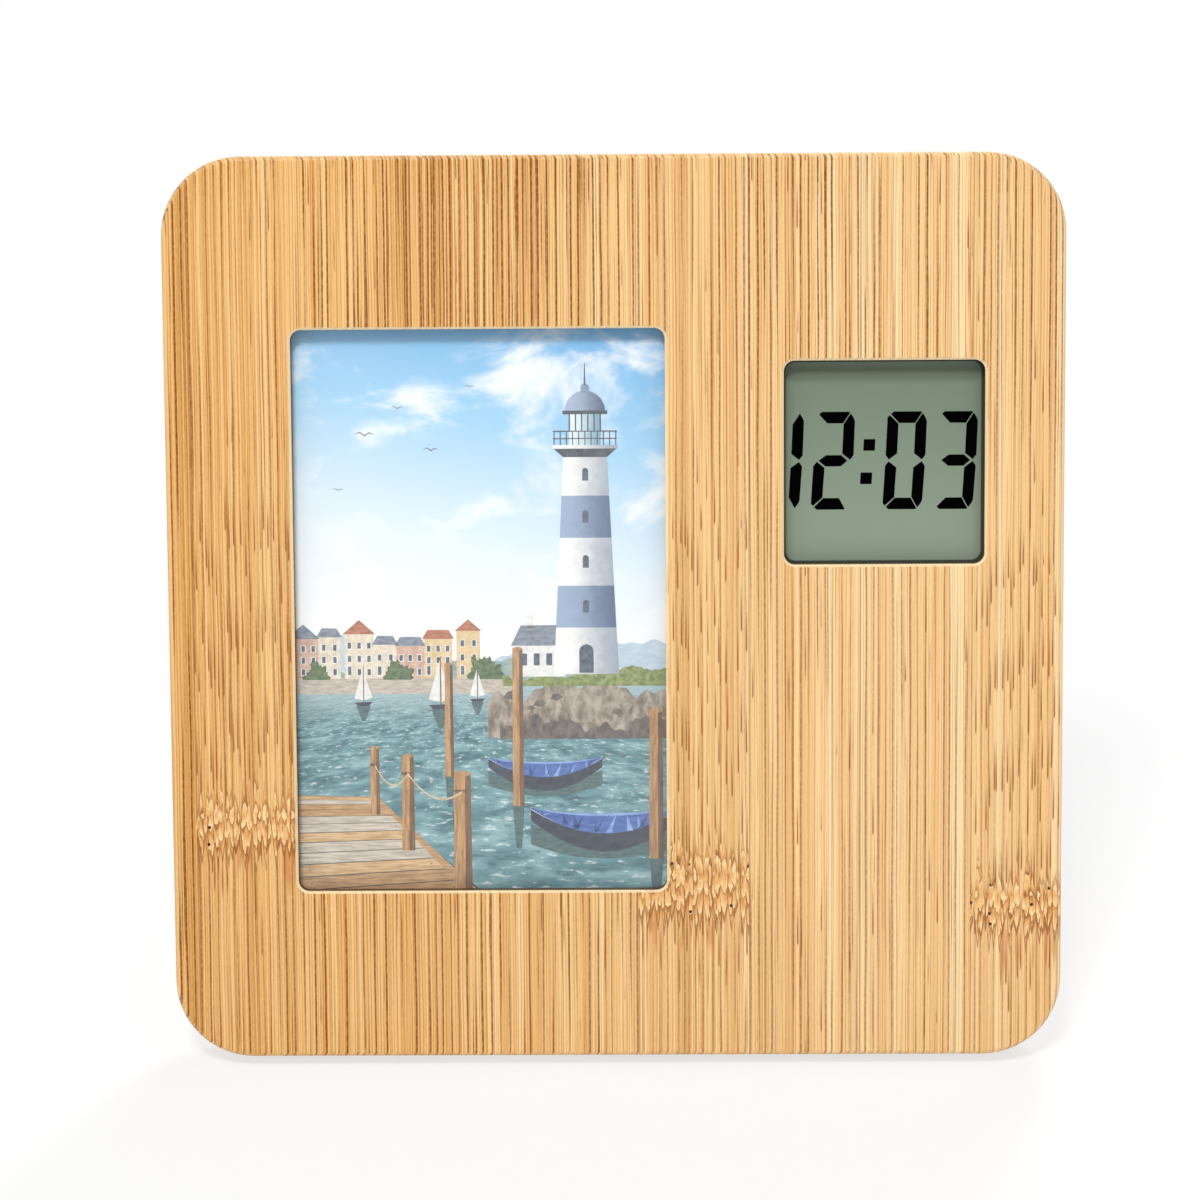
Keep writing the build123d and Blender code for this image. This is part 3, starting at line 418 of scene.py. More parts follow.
    def finish(self, windows):
        color = self.with_knuckles(self.wood_color())
        if windows:
            color = self.with_edges(color)
        relief = self.weighted(0.0, (self.strong_lines, -0.8), (self.dashes, -0.5), (self.hair, 0.35),
                               (self.pin_holes, -2.0))
        rough = self.weighted(0.36, (self.strong_lines, 0.12), (self.hair, 0.10))
        shine = self.weighted(0.20, (self.math("MAXIMUM", self.strong_lines, self.fine_lines), -0.18))
        return self.dress(color, rough, relief, WOOD_RELIEF, Specular_IOR_Level=shine)


DARK_ZINC = srgb(168, 170, 172)
PALE_ZINC = srgb(214, 214, 210)
GRIME_AND_SHADE = srgb(46, 44, 42)
GRIME_AND_SHADE_REACH = 0.8 * MM


def steel_finish():
    """Zinc-plated steel: brushed, a little uneven in tone, with painted shade and grime darkening its
    recesses.
    """
    steel = Finish("zinc_steel")
    place = steel.place_on()
    brushed = steel.noise(place, (0.6, 6.0, 6.0), 3.0, 0.6)
    cloud = steel.noise(place, 0.35, 3.0)
    # Painted shade and grime: darker and rougher where ambient occlusion finds a recess or corner
    open_share = steel.add("AmbientOcclusion", {"Distance": GRIME_AND_SHADE_REACH}, "AO", only_local=True)
    grime_and_shade = steel.fade(open_share, 0.80, 0.40)
    color = steel.tint(steel.mix(cloud, DARK_ZINC, PALE_ZINC), grime_and_shade, 0.85, GRIME_AND_SHADE)
    rough = steel.weighted(0.14, (brushed, 0.22), (cloud, 0.12), (grime_and_shade, 0.30))
    return steel.dress(color, rough, brushed, 0.01 * MM, Metallic=1.0)


def hardboard_finish():
    """Pressed fibre board: matted fibres, fine specks and darker clouds."""
    board = Finish("hardboard")
    place = board.place_on()
    mat = board.noise(place, 1.6, 5.0, 0.7, 0.6)
    specks = board.fade(board.noise(place, 4.5), 0.62, 0.72)
    clouds = board.fade(board.noise(place, 0.06, 3.0), 0.4, 0.7)
    color = board.mix(board.fade(mat, 0.3, 0.7), srgb(128, 88, 54), srgb(160, 116, 74))
    color = board.tint(color, specks, 0.5, srgb(70, 46, 28))
    color = board.tint(color, clouds, 0.18, srgb(60, 40, 26))
    return board.dress(color, board.weighted(0.5, (mat, 0.2)), mat, 0.06 * MM)


FILM_LOW, FILM_HIGH = extent("lcd_front_film")
DISPLAY_MIDDLE = (FILM_LOW + FILM_HIGH) / 2
DISPLAY_WIDTH = 33.0
DISPLAY_HEIGHT = 33.6
DISPLAY_CORNER = 2.0
RIM_LINE = 0.35
SHADE_BELOW_TOP = 2.3
SHADE_REACH = 0.6
SHADE_SOFT = 1.3
SIDE_SHADE = 2.2


def lcd_finish():
    """The display's grey-green ground, with painted shade below the window's top edge and along its sides,
    and a dark line round it.
    """
    ground = Finish("lcd_ground")
    place = ground.place_on()
    across, _, up = ground.split(place)
    rise = ground.fade(up, FILM_LOW.y, FILM_HIGH.y)
    color = ground.ramp(rise, ((0.1, srgb(134, 148, 129)), (0.9, srgb(112, 128, 109))))
    color = ground.tint(color, ground.noise(place, 0.05), 0.12, srgb(112, 128, 112))
    half_width, half_height = DISPLAY_WIDTH / 2, DISPLAY_HEIGHT / 2
    aside, above = ground.off(across, DISPLAY_MIDDLE.x), ground.off(up, DISPLAY_MIDDLE.y)
    # Painted shade from the window's edge: deepest a little below its top, fainter along its sides
    top_shade = ground.band(up, DISPLAY_MIDDLE.y + half_height - SHADE_BELOW_TOP, SHADE_REACH, SHADE_SOFT)
    side_shade = ground.fade(aside, half_width - SIDE_SHADE, half_width)
    painted_shade = ground.math("MAXIMUM", top_shade, ground.times(side_shade, 0.6))
    color = ground.tint(color, painted_shade, 0.38, srgb(54, 52, 18))
    over_corner = []
    for distance, half in ((aside, half_width), (above, half_height)):
        over = ground.math("SUBTRACT", distance, half - DISPLAY_CORNER)
        over_corner.append(ground.math("MAXIMUM", over, 0.0))
    outward = ground.add("VectorMath", {0: ground.join(*over_corner, 0.0)}, "Value", operation="LENGTH")
    rim_start = DISPLAY_CORNER - RIM_LINE
    rim = ground.fade(outward, rim_start - 0.12, rim_start + 0.06)
    return ground.dress(ground.tint(color, rim, 0.85, srgb(22, 19, 15)), 0.32, Specular_IOR_Level=0.3)


def pane_finish():
    """Thin clear plastic with a faint haze."""
    pane = Finish("clear_pane")
    cloud = pane.noise(pane.place_on(), 0.04, 3.0)
    return pane.dress(srgb(240, 244, 246), pane.weighted(0.05, (cloud, 0.06)),
                      Alpha=pane.weighted(0.02, (cloud, 0.04)))


def mottled_finish(name, dark, light, scale, rough, depth=0.02 * MM, **values):
    """A plain part with a mottle of two shades and a fine relief."""
    part = Finish(name)
    place = part.place_on()
    tone = part.noise(place, scale, 4.0, 0.6)
    fine = part.noise(place, 4.0, 3.0)
    color = part.mix(part.fade(tone, 0.3, 0.7), srgb(*dark), srgb(*light))
    return part.dress(color, part.weighted(rough, (fine, 0.2)), fine, depth, **values)


def wear(material, *nodes):
    """Give a finish to CAD nodes."""
    for node in nodes:
        slots = NODES[node].data.materials
        slots.clear()
        slots.append(material)


wear(Bamboo("bamboo_board", LEAN).finish(windows=True), "bamboo_board")
wear(Bamboo("stand_leg", LEG_LEAN).finish(windows=False), "stand_leg")
wear(lcd_finish(), "lcd_front_film")
wear(mottled_finish("black_moulding", (26, 26, 28), (34, 34, 36), 0.09, 0.36, 0.05 * MM),
     "module_front_frame", "module_rear_case", "battery_cover")
wear(mottled_finish("grey_button", (96, 98, 100), (112, 114, 116), 0.09, 0.36, 0.05 * MM),
     "mode_button", "set_button")
wear(steel_finish(), "hinge_door_leaf", "hinge_leg_leaf", "hinge_pin", "hinge_door_rivets",
     "hinge_leg_rivets", "turn_button_screws", "module_screws",
     *[f"turn_button_{number}" for number in range(1, 5)])
wear(hardboard_finish(), "back_door")
wear(pane_finish(), "photo_pane")
wear(mottled_finish("foam", (206, 206, 202), (226, 226, 222), 0.6, 0.7, 0.08 * MM), "filler_pad")
wear(mottled_finish("display_glass", (150, 162, 150), (162, 174, 160), 0.2, 0.1), "lcd_glass")
wear(mottled_finish("reflector", (176, 180, 176), (196, 200, 196), 0.3, 0.2, Metallic=0.6), "lcd_reflector")
wear(mottled_finish("contact_rubber", (30, 30, 32), (40, 40, 42), 0.8, 0.6), "contact_strips")
wear(mottled_finish("laminate", (28, 82, 52), (40, 100, 64), 0.5, 0.25), "circuit_board")
wear(mottled_finish("chip_epoxy", (18, 18, 20), (34, 34, 36), 0.7, 0.25), "chip_cover")
wear(mottled_finish("bright_metal", (186, 188, 190), (212, 212, 212), 0.5, 0.12, 0.01 * MM, Metallic=1.0),
     "quartz_crystal", "button_cell", "switch_domes", "circuit_board_screws")
wear(mottled_finish("contact_brass", (190, 156, 84), (214, 182, 108), 0.5, 0.16, 0.01 * MM, Metallic=1.0),
     "negative_contact", "positive_contact")


def link(name, data):
    """A new object in the scene."""
    thing = bpy.data.objects.new(name, data)
    bpy.context.scene.collection.objects.link(thing)
    return thing


class Layers:
    """A piece made of flat closed layers that face the front of the board."""

    def __init__(self):
        self.mesh = bmesh.new()
        self.materials = []

    def add(self, outline, front, back, material):
        """One layer: its corners in millimetres on the board, between two depths behind the front."""
        pairs = zip(outline, outline[1:] + outline[:1])
        if sum(a[0] * b[1] - a[1] * b[0] for a, b in pairs) < 0:
            outline = outline[::-1]
        fore = [self.mesh.verts.new(on_board(across, up, front)) for across, up in outline]
        rear = [self.mesh.verts.new(on_board(across, up, back)) for across, up in outline]
        rings = [fore, rear[::-1]]
        for corner in range(len(outline)):
            rings.append((fore[corner - 1], rear[corner - 1], rear[corner], fore[corner]))
        if material not in self.materials:
            self.materials.append(material)
        for ring in rings:
            self.mesh.faces.new(ring).material_index = self.materials.index(material)

    def finish(self, name, slot):
        mesh = bpy.data.meshes.new(name)
        self.mesh.to_mesh(mesh)
        self.mesh.free()
        for material in self.materials:
            mesh.materials.append(material)
        piece = link(name, mesh)
        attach(piece, "frame")
        return piece


# Display: seven-segment digits, drawn in millimetres from a digit's lower left corner
DIGIT_HEIGHT = 16.16
DIGIT_SLANT = 0.056
LEFT_BAR = [(0.0, 15.15), (0.35, 15.55), (1.85, 14.15), (1.92, 9.25), (0.6, 8.24), (0.05, 8.95)]
RIGHT_BAR = [(5.75, 15.9), (6.25, 15.2), (6.5, 14.6), (6.6, 9.0), (6.05, 8.24), (4.72, 9.25), (4.67, 14.1)]
CROSS_BAR = [(0.55, 15.75), (1.0, 16.16), (5.5, 16.16), (5.6, 15.98), (4.58, 14.27), (1.95, 14.27)]
MIDDLE_BAR = [(0.88, 8.08), (2.05, 9.0), (4.55, 9.0), (5.62, 8.08), (4.55, 7.16), (2.05, 7.16)]
DOT = [(-0.95, -0.95), (0.95, -0.95), (0.95, 0.95), (-0.95, 0.95)]


def lowered(bar):
    """The same bar in the lower half of a digit."""
    return [(across, DIGIT_HEIGHT - up) for across, up in bar]


# Places of the digits and of the colon's dots are from the middle of the display
SEGMENTS = {"a": CROSS_BAR, "b": RIGHT_BAR, "c": lowered(RIGHT_BAR), "d": lowered(CROSS_BAR),
            "e": lowered(LEFT_BAR), "f": LEFT_BAR, "g": MIDDLE_BAR}
DIGITS = {-20.4: "bc", -12.0: "abged", -0.15: "abcdef", 8.25: "abgcd"}
DIGIT_FOOT = -7.97
COLON = ((-2.3, 2.7), (-2.82, -2.82))
SEGMENT_PROUD = 0.03


def lcd_digits():
    ink = Finish("lcd_segments")
    cloud = ink.noise(ink.place_on(), 0.6)
    ink.dress(ink.mix(cloud, srgb(2, 2, 2), srgb(5, 5, 5)), 0.5, Specular_IOR_Level=0.0)
    shapes = [(SEGMENTS[segment], left, DIGIT_FOOT) for left, lit in DIGITS.items() for segment in lit]
    shapes += [(DOT, left, foot) for left, foot in COLON]
    digits = Layers()
    for outline, left, foot in shapes:
        corners = [(DISPLAY_MIDDLE.x + left + across + DIGIT_SLANT * up, DISPLAY_MIDDLE.y + foot + up)
                   for across, up in outline]
        digits.add(corners, FILM_LOW.z - SEGMENT_PROUD, FILM_LOW.z + SEGMENT_PROUD, ink.material)
    digits.finish("lcd_digits", "lcd_film")


lcd_digits()

# Print: a harbour view in thin layers on photo paper, in millimetres from the sheet's lower left corner
SHEET_LOW, SHEET_HIGH = extent("photo_print")
SHEET_WIDTH, SHEET_HEIGHT, _ = SHEET_HIGH - SHEET_LOW
INK_DEPTH = 0.15
INK_STEP = 0.004
INK_ROUGHNESS = 0.4
HORIZON = 37.6
TOWER_MIDDLE = 52.5

# Grains of the inks, in waves per millimetre
EVEN = 0.9
LEAFY = 1.6
TILED = (1.0, 1.0, 3.0)
UPRIGHT = (2.2, 2.2, 0.25)
FOLDED = (0.35, 0.35, 1.2)
PLANKED = (0.25, 0.25, 2.6)

# Dark shade, light shade and grain of each ink
INKS = {
    "far_hill": ((178, 198, 214), (204, 218, 228), (0.3, 0.3, 0.8)),
    "near_hill": ((132, 156, 156), (166, 184, 174), (0.5, 0.5, 0.9)),
    "gull": ((70, 78, 90), (120, 128, 138), EVEN),
    "quay": ((172, 162, 148), (212, 202, 188), (0.6, 0.6, 2.5)),
    "wall_cream": ((214, 200, 176), (240, 230, 212), EVEN),
    "wall_rose": ((196, 158, 138), (222, 190, 170), EVEN),
    "wall_ochre": ((212, 184, 136), (236, 212, 168), EVEN),
    "white": ((222, 222, 218), (246, 246, 242), EVEN),
    "roof_tile": ((156, 92, 70), (200, 134, 104), TILED),
    "roof_slate": ((108, 116, 130), (150, 158, 172), TILED),
    "window_pane": ((58, 70, 86), (100, 114, 130), EVEN),
    "leaves": ((52, 78, 50), (112, 134, 86), LEAFY),
    "rock": ((112, 100, 88), (184, 172, 156), (0.8, 0.8, 0.5)),
    "rock_shade": ((78, 72, 68), (126, 116, 106), (0.9, 0.9, 0.5)),
    "grass": ((98, 116, 62), (158, 168, 104), LEAFY),
    "iron": ((50, 56, 66), (86, 92, 102), EVEN),
    "cover": ((58, 88, 156), (92, 124, 190), FOLDED),
    "cover_shade": ((34, 56, 110), (56, 84, 146), FOLDED),
    "cover_light": ((116, 148, 206), (158, 184, 226), FOLDED),
    "hull": ((30, 38, 52), (62, 70, 86), EVEN),
    "hull_trim": ((204, 196, 178), (236, 230, 214), EVEN),
    "mirrored": ((58, 84, 88), (96, 122, 120), (0.6, 0.6, 3.0)),
    "post": ((152, 110, 68), (208, 164, 112), UPRIGHT),
    "post_shade": ((92, 64, 42), (134, 98, 66), UPRIGHT),
    "plank_tan": ((186, 148, 102), (232, 198, 150), PLANKED),
    "plank_grey": ((176, 164, 148), (222, 212, 196), PLANKED),
    "plank_brown": ((164, 124, 82), (208, 170, 122), PLANKED),
    "under": ((44, 46, 46), (86, 84, 78), EVEN),
    "rope": ((190, 172, 138), (226, 210, 178), EVEN),
}

# Half the width, lit shade and far shade of each round thing on the tower
ROUND_INKS = {
    "tower": (5.4, (250, 249, 245), (158, 168, 182)),
    "tower_band": (5.0, (156, 176, 202), (88, 106, 136)),
    "tower_dome": (3.4, (168, 184, 206), (82, 98, 124)),
    "lantern": (2.6, (226, 238, 242), (128, 164, 184)),
}


def mottled_ink(name, dark, light, grain):
    ink = Finish("print_" + name)
    tone = ink.noise(ink.place_on(), grain, 4.0, 0.65)
    return ink.dress(ink.mix(ink.fade(tone, 0.3, 0.7), srgb(*dark), srgb(*light)), INK_ROUGHNESS)


def round_ink(name, half, light, dark):
    """Ink for a round thing: light on its left, dark on its right, with a faint mottle."""
    ink = Finish("print_" + name)
    place = ink.place_on()
    along = ink.math("SUBTRACT", ink.split(place)[0], SHEET_LOW.x + TOWER_MIDDLE - 0.6 * half)
    turn = ink.weighted(0.0, (along, 0.5 / half), (ink.noise(place, 0.7, 4.0, 0.6), 0.4))
    return ink.dress(ink.mix(ink.fade(turn, 0.1, 1.0), srgb(*light), srgb(*dark)), INK_ROUGHNESS)


def sky_ink():
    """Blue above, white at the horizon, with loose clouds."""
    sky = Finish("print_sky")
    across, depth, up = sky.split(sky.place_on())
    rise = sky.math("DIVIDE", sky.math("SUBTRACT", up, SHEET_LOW.y + HORIZON), SHEET_HEIGHT - HORIZON)
    aside = sky.math("SUBTRACT", across, SHEET_LOW.x + SHEET_WIDTH / 2)
    color = sky.ramp(sky.weighted(rise, (aside, 0.003)),
                     ((0.0, srgb(252, 252, 250)), (0.35, srgb(230, 241, 248)), (0.7, srgb(160, 208, 238)),
                      (1.0, srgb(104, 176, 226))))
    clouds = sky.noise(sky.join(across, depth, up), (0.045, 0.045, 0.0765), 5.0, 0.6, 0.4)
    color = sky.tint(color, sky.fade(clouds, 0.48, 0.66), 0.85, srgb(253, 253, 252))
    return sky.dress(color, INK_ROUGHNESS)


def sea_ink():
    """Waves that grow finer towards the horizon."""
    sea = Finish("print_sea")
    across, _, up = sea.split(sea.place_on())
    below = sea.math("SUBTRACT", SHEET_LOW.y + HORIZON + 1.2, up)
    sideways = sea.math("DIVIDE", sea.math("SUBTRACT", across, SHEET_LOW.x + SHEET_WIDTH / 2), below)
    place = sea.join(sideways, sea.math("LOGARITHM", below, math.e), 0.0)
    swell = sea.noise(place, (2.6, 7.5, 1.0), 4.0, 0.6, 0.5)
    ripple = sea.noise(place, (9.0, 30.0, 1.0), 3.0, 0.6)
    color = sea.ramp(swell, ((0.32, srgb(62, 104, 112)), (0.5, srgb(104, 148, 154)),
                             (0.68, srgb(150, 186, 190))))
    color = sea.tint(color, sea.fade(ripple, 0.56, 0.68), 0.75, srgb(222, 236, 236))
    color = sea.tint(color, sea.fade(ripple, 0.44, 0.34), 0.5, srgb(46, 82, 92))
    haze = sea.fade(below, 9.0, 0.5)
    return sea.dress(sea.tint(color, haze, 0.6, srgb(196, 216, 220)), INK_ROUGHNESS)


PRINT_INKS = {"sky": sky_ink(), "sea": sea_ink()}
PRINT_INKS.update({name: mottled_ink(name, *recipe) for name, recipe in INKS.items()})
PRINT_INKS.update({name: round_ink(name, *recipe) for name, recipe in ROUND_INKS.items()})


def box(left, foot, right, top):
    return [(left, foot), (right, foot), (right, top), (left, top)]


def taper(middle, foot, top, half_foot, half_top):
    return [(middle - half_foot, foot), (middle + half_foot, foot), (middle + half_top, top),
            (middle - half_top, top)]


def oval(middle, foot, half_width, half_height, whole=True, steps=10):
    """A whole oval, or its upper half."""
    turns = [math.pi * step / steps for step in range(2 * steps if whole else steps + 1)]
    return [(middle + half_width * math.cos(turn), foot + half_height * math.sin(turn)) for turn in turns]


def arch(middle, foot, top, half):
    """An opening with a round head."""
    return [(middle - half, foot), (middle + half, foot)] + oval(middle, top, half, half, whole=False)


def ridge(left, right, foot, top, *waves, step=0.5):
    """A skyline over a flat foot: each wave has a height, a length and a start."""
    count = int((right - left) / step)
    line = [(right, foot), (left, foot)]
    for number in range(count + 1):
        along = left + (right - left) * number / count
        swell = [height * math.sin(2 * math.pi * along / length + start) for height, length, start in waves]
        line.append((along, top + sum(swell)))
    return line


def clump(middle, foot, width, height, chance, lobes=9):
    """A leafy outline: a half round with uneven lobes."""
    line = []
    for lobe in range(lobes):
        swell = chance.uniform(0.8, 1.15)
        for bit in range(3):
            angle = math.pi * (lobe + bit / 3) / (lobes - 1 / 3)
            out = swell * (1.0 + 0.12 * math.sin(math.pi * bit / 2))
            line.append((middle + width / 2 * out * math.cos(angle), foot + height * out * math.sin(angle)))
    return line


class Picture(Layers):
    """The layers of a print: a higher level lies in front of a lower one."""

    def paint(self, level, ink, outline):
        corners = [(SHEET_LOW.x + min(max(across, 0), SHEET_WIDTH),
                    SHEET_LOW.y + min(max(up, 0), SHEET_HEIGHT)) for across, up in outline]
        paper = SHEET_LOW.z + INK_DEPTH
        proud = (level + 1) * INK_STEP
        self.add(corners, paper - proud, paper + proud / 4, PRINT_INKS[ink])

    def paint_at(self, level, ink, left, foot, size, outline):
        """A small outline drawn to a size at its own place."""
        self.paint(level, ink, [(left + size * across, foot + size * up) for across, up in outline])


FAR_WAVES = ((2.4, 47.0, 0.4), (0.9, 13.0, 1.3), (0.25, 3.7, 0.2))
NEAR_WAVES = ((1.3, 39.0, 2.2), (0.6, 9.5, 0.3), (0.25, 2.6, 0.0))
GULL = ((0, 0), (0.45, 0.3), (1, 0.12), (0.45, 0.42), (0, 0.14), (-0.45, 0.46), (-1, 0.2), (-0.45, 0.34))
GULLS = ((16.0, 79.0, 1.7), (21.5, 83.5, 1.2), (27.0, 76.5, 1.4), (11.5, 70.0, 1.0), (33.5, 87.0, 0.9))


def print_sheet():
    """The paper with the sky, hills, sea and gulls."""
    view = Picture()
    corners = box(SHEET_LOW.x, SHEET_LOW.y, SHEET_HIGH.x, SHEET_HIGH.y)
    view.add(corners, SHEET_LOW.z + INK_DEPTH, SHEET_HIGH.z, PRINT_INKS["white"])
    view.paint(0, "sky", box(0, 0, SHEET_WIDTH, SHEET_HEIGHT))
    view.paint(1, "far_hill", ridge(0, SHEET_WIDTH, HORIZON - 1, 43.0, *FAR_WAVES))
    view.paint(2, "near_hill", ridge(0, 52.0, HORIZON - 1, 40.2, *NEAR_WAVES))
    view.paint(3, "sea", box(0, 0, SHEET_WIDTH, HORIZON))
    for left, foot, size in GULLS:
        view.paint_at(4, "gull", left, foot, size, GULL)
    return view.finish("print_sheet", "print_paper")


WALLS = ("wall_cream", "wall_rose", "wall_ochre", "white")
ROOFS = ("roof_tile", "roof_slate")
QUAY = box(0, 36.0, 40.0, 38.8)
VILLAGE_LEFT = -1.5
VILLAGE_RIGHT = 32.0
VILLAGE_FOOT = 38.6
WINDOW_COLUMN = 1.35
WINDOW_ROW = 2.1
TREES = ((7.5, 4.0, 2.6), (21.0, 5.0, 3.0), (35.5, 5.5, 4.2))


def windows(view, left, width, height):
    """Rows of windows on a house; the lowest on the left is a door."""
    columns, rows = int(width / WINDOW_COLUMN), int(height / WINDOW_ROW)
    for column in range(columns):
        for row in range(rows):
            middle = left + width * (column + 0.5) / columns
            sill = VILLAGE_FOOT + 0.6 + (height - 0.8) * row / rows
            top = sill + (1.45 if row == 0 and column == 0 else 1.0)
            view.paint(8, "white", box(middle - 0.42, sill - 0.12, middle + 0.42, top + 0.12))
            view.paint(9, "window_pane", box(middle - 0.28, sill, middle + 0.28, top))


def village(view, chance):
    """Houses side by side on a quay, with gabled or hipped roofs, and trees in front."""
    view.paint(5, "quay", QUAY)
    left = VILLAGE_LEFT
    while left < VILLAGE_RIGHT:
        width, height = chance.uniform(3.4, 5.4), chance.uniform(4.6, 9.0)
        right, top = left + width, VILLAGE_FOOT + height
        view.paint(6, chance.choice(WALLS), box(left, VILLAGE_FOOT, right, top))
        gable, hip = (0.05, 0.48 * width), (width / 2 - 0.6, 1.5)
        half_ridge, rise = chance.choice((gable, hip))
        roof = taper(left + width / 2, top, top + rise, width / 2 + 0.3, half_ridge)
        view.paint(7, chance.choice(ROOFS), roof)
        windows(view, left, width, height)
        left = right + chance.choice((0.0, 0.0, 0.7))
    for middle, width, height in TREES:
        view.paint(10, "leaves", clump(middle, VILLAGE_FOOT - 0.2, width, height, chance))


ROCK = ridge(36.0, 70.0, 28.5, 36.5, (1.6, 34.0, -1.8), (0.9, 9.0, 0.4), (0.5, 3.1, 1.0))
ROCK_SHADE = ridge(38.0, 70.0, 28.3, 31.0, (0.9, 21.0, 0.6), (0.8, 6.1, 1.1), (0.4, 2.3, 0.0))
GRASS = ridge(38.5, 70.0, 37.2, 39.4, (0.8, 40.0, -2.0), (0.4, 7.3, 0.2), (0.15, 1.3, 0.0))
STONE = ((-1.0, 0.0), (0.2, -0.25), (1.0, 0.3), (0.3, 0.9), (-0.5, 0.7))
STONES = 16
TOWER_FOOT = 39.2
TOWER_TOP = 76.0
TOWER_HALF_FOOT = 5.4
TOWER_HALF_TOP = 3.6
TOWER_BANDS = ((47.0, 54.0), (62.0, 69.0))
TOWER_WINDOWS = (49.5, 57.0, 64.5, 71.5)
GALLERY_FOOT = 76.8
GALLERY_HALF = 5.4
RAIL_TOP = 79.7
LANTERN_TOP = 83.0
LANTERN_HALF = 2.6


def headland(view, chance):
    """The rock with loose stones, its grass and the keeper's house."""
    view.paint(10, "rock", ROCK)
    view.paint(11, "rock_shade", ROCK_SHADE)
    for number in range(STONES):
        left, foot = chance.uniform(40.0, 69.0), chance.uniform(30.5, 36.0)
        size = chance.uniform(0.5, 1.5)
        view.paint_at(12, chance.choice(("rock", "rock_shade")), left, foot, size, STONE)
    view.paint(13, "grass", GRASS)
    view.paint(14, "white", box(40.5, 38.8, 49.0, 44.2))
    view.paint(15, "roof_slate", [(39.9, 44.0), (41.6, 47.4), (49.0, 47.4), (49.0, 44.0)])
    view.paint(15, "white", box(42.6, 46.6, 43.8, 49.2))
    for middle in (42.1, 44.2, 46.3):
        view.paint(16, "window_pane", box(middle - 0.5, 40.7, middle + 0.5, 42.7))


def tower_half(height):
    """Half the tower's width at a height."""
    share = (height - TOWER_FOOT) / (TOWER_TOP - TOWER_FOOT)
    return TOWER_HALF_FOOT + (TOWER_HALF_TOP - TOWER_HALF_FOOT) * share


def tower(view):
    view.paint(16, "tower", taper(TOWER_MIDDLE, TOWER_FOOT, TOWER_TOP, TOWER_HALF_FOOT, TOWER_HALF_TOP))
    for foot, top in TOWER_BANDS:
        view.paint(17, "tower_band", taper(TOWER_MIDDLE, foot, top, tower_half(foot), tower_half(top)))
    view.paint(17, "window_pane", arch(TOWER_MIDDLE, TOWER_FOOT + 0.2, TOWER_FOOT + 3.8, 1.2))
    for foot in TOWER_WINDOWS:
        view.paint(18, "window_pane", arch(TOWER_MIDDLE, foot, foot + 1.6, 0.5))


def upright_bars(view, level, half, count, thickness, foot, top):
    """Thin iron bars at even steps."""
    for number in range(count):
        middle = TOWER_MIDDLE - half + 2 * half * number / (count - 1)
        view.paint(level, "iron", box(middle - thickness / 2, foot, middle + thickness / 2, top))


def lantern(view):
    """The gallery with its railing, the lantern room and the dome."""
    left, right = TOWER_MIDDLE - GALLERY_HALF, TOWER_MIDDLE + GALLERY_HALF
    bracket = taper(TOWER_MIDDLE, TOWER_TOP - 0.6, GALLERY_FOOT, TOWER_HALF_TOP, GALLERY_HALF - 0.2)
    view.paint(18, "iron", bracket)
    view.paint(19, "tower", box(left, GALLERY_FOOT, right, GALLERY_FOOT + 0.6))
    upright_bars(view, 20, GALLERY_HALF - 0.3, 11, 0.16, GALLERY_FOOT + 0.6, RAIL_TOP)
    for foot in (RAIL_TOP - 1.3, RAIL_TOP - 0.1):
        view.paint(21, "iron", box(left + 0.1, foot, right - 0.1, foot + 0.16))
    room = taper(TOWER_MIDDLE, GALLERY_FOOT + 0.6, LANTERN_TOP, LANTERN_HALF, LANTERN_HALF)
    view.paint(18, "lantern", room)
    upright_bars(view, 19, LANTERN_HALF - 0.05, 6, 0.22, RAIL_TOP, LANTERN_TOP)
    view.paint(20, "tower_dome", oval(TOWER_MIDDLE, LANTERN_TOP - 0.2, 3.4, 3.6, whole=False))
    view.paint(22, "iron", taper(TOWER_MIDDLE, LANTERN_TOP - 0.5, LANTERN_TOP + 0.1, 3.7, 3.7))
    view.paint(21, "tower_dome", oval(TOWER_MIDDLE, LANTERN_TOP + 3.8, 0.75, 0.75))
    view.paint(21, "iron", taper(TOWER_MIDDLE, LANTERN_TOP + 4.3, LANTERN_TOP + 8.0, 0.14, 0.05))


def lighthouse(view, chance):
    headland(view, chance)
    tower(view)
    lantern(view)


SAIL_BOATS = ((26.5, 33.4, 3.6), (33.2, 34.6, 2.4), (14.0, 34.0, 2.8))
SAIL_BOAT = (
    (12, "hull", ((-0.1, 0.2), (0.1, 0.0), (0.75, 0.0), (1.0, 0.24))),
    (12, "mirrored", ((0.35, -0.9), (0.55, -0.9), (0.9, 0.0), (0.0, 0.0))),
    (13, "white", ((0.42, 0.35), (0.42, 2.3), (-0.1, 0.45))),
    (13, "white", ((0.5, 0.35), (0.5, 2.0), (0.98, 0.5))),
    (13, "post_shade", ((0.44, 0.2), (0.48, 0.2), (0.48, 2.45), (0.44, 2.45))),
)
BOAT_STEPS = 14


def sail_boats(view):
    """Small boats far off: a hull and its mirror image, two sails and a mast."""
    for left, foot, size in SAIL_BOATS:
        for level, ink, outline in SAIL_BOAT:
            view.paint_at(level, ink, left, foot, size, outline)


def boat_line(left, foot, length, lift, bow, swell=0.0):
    """A line along a boat, in shares of its length: lifted, bent up at its ends, swollen in its middle."""
    line = []
    for step in range(BOAT_STEPS + 1):
        share = step / BOAT_STEPS
        rise = lift + bow * (2 * share - 1) ** 2 + swell * math.sin(math.pi * share)
        line.append((left + length * share, foot + length * rise))
    return line


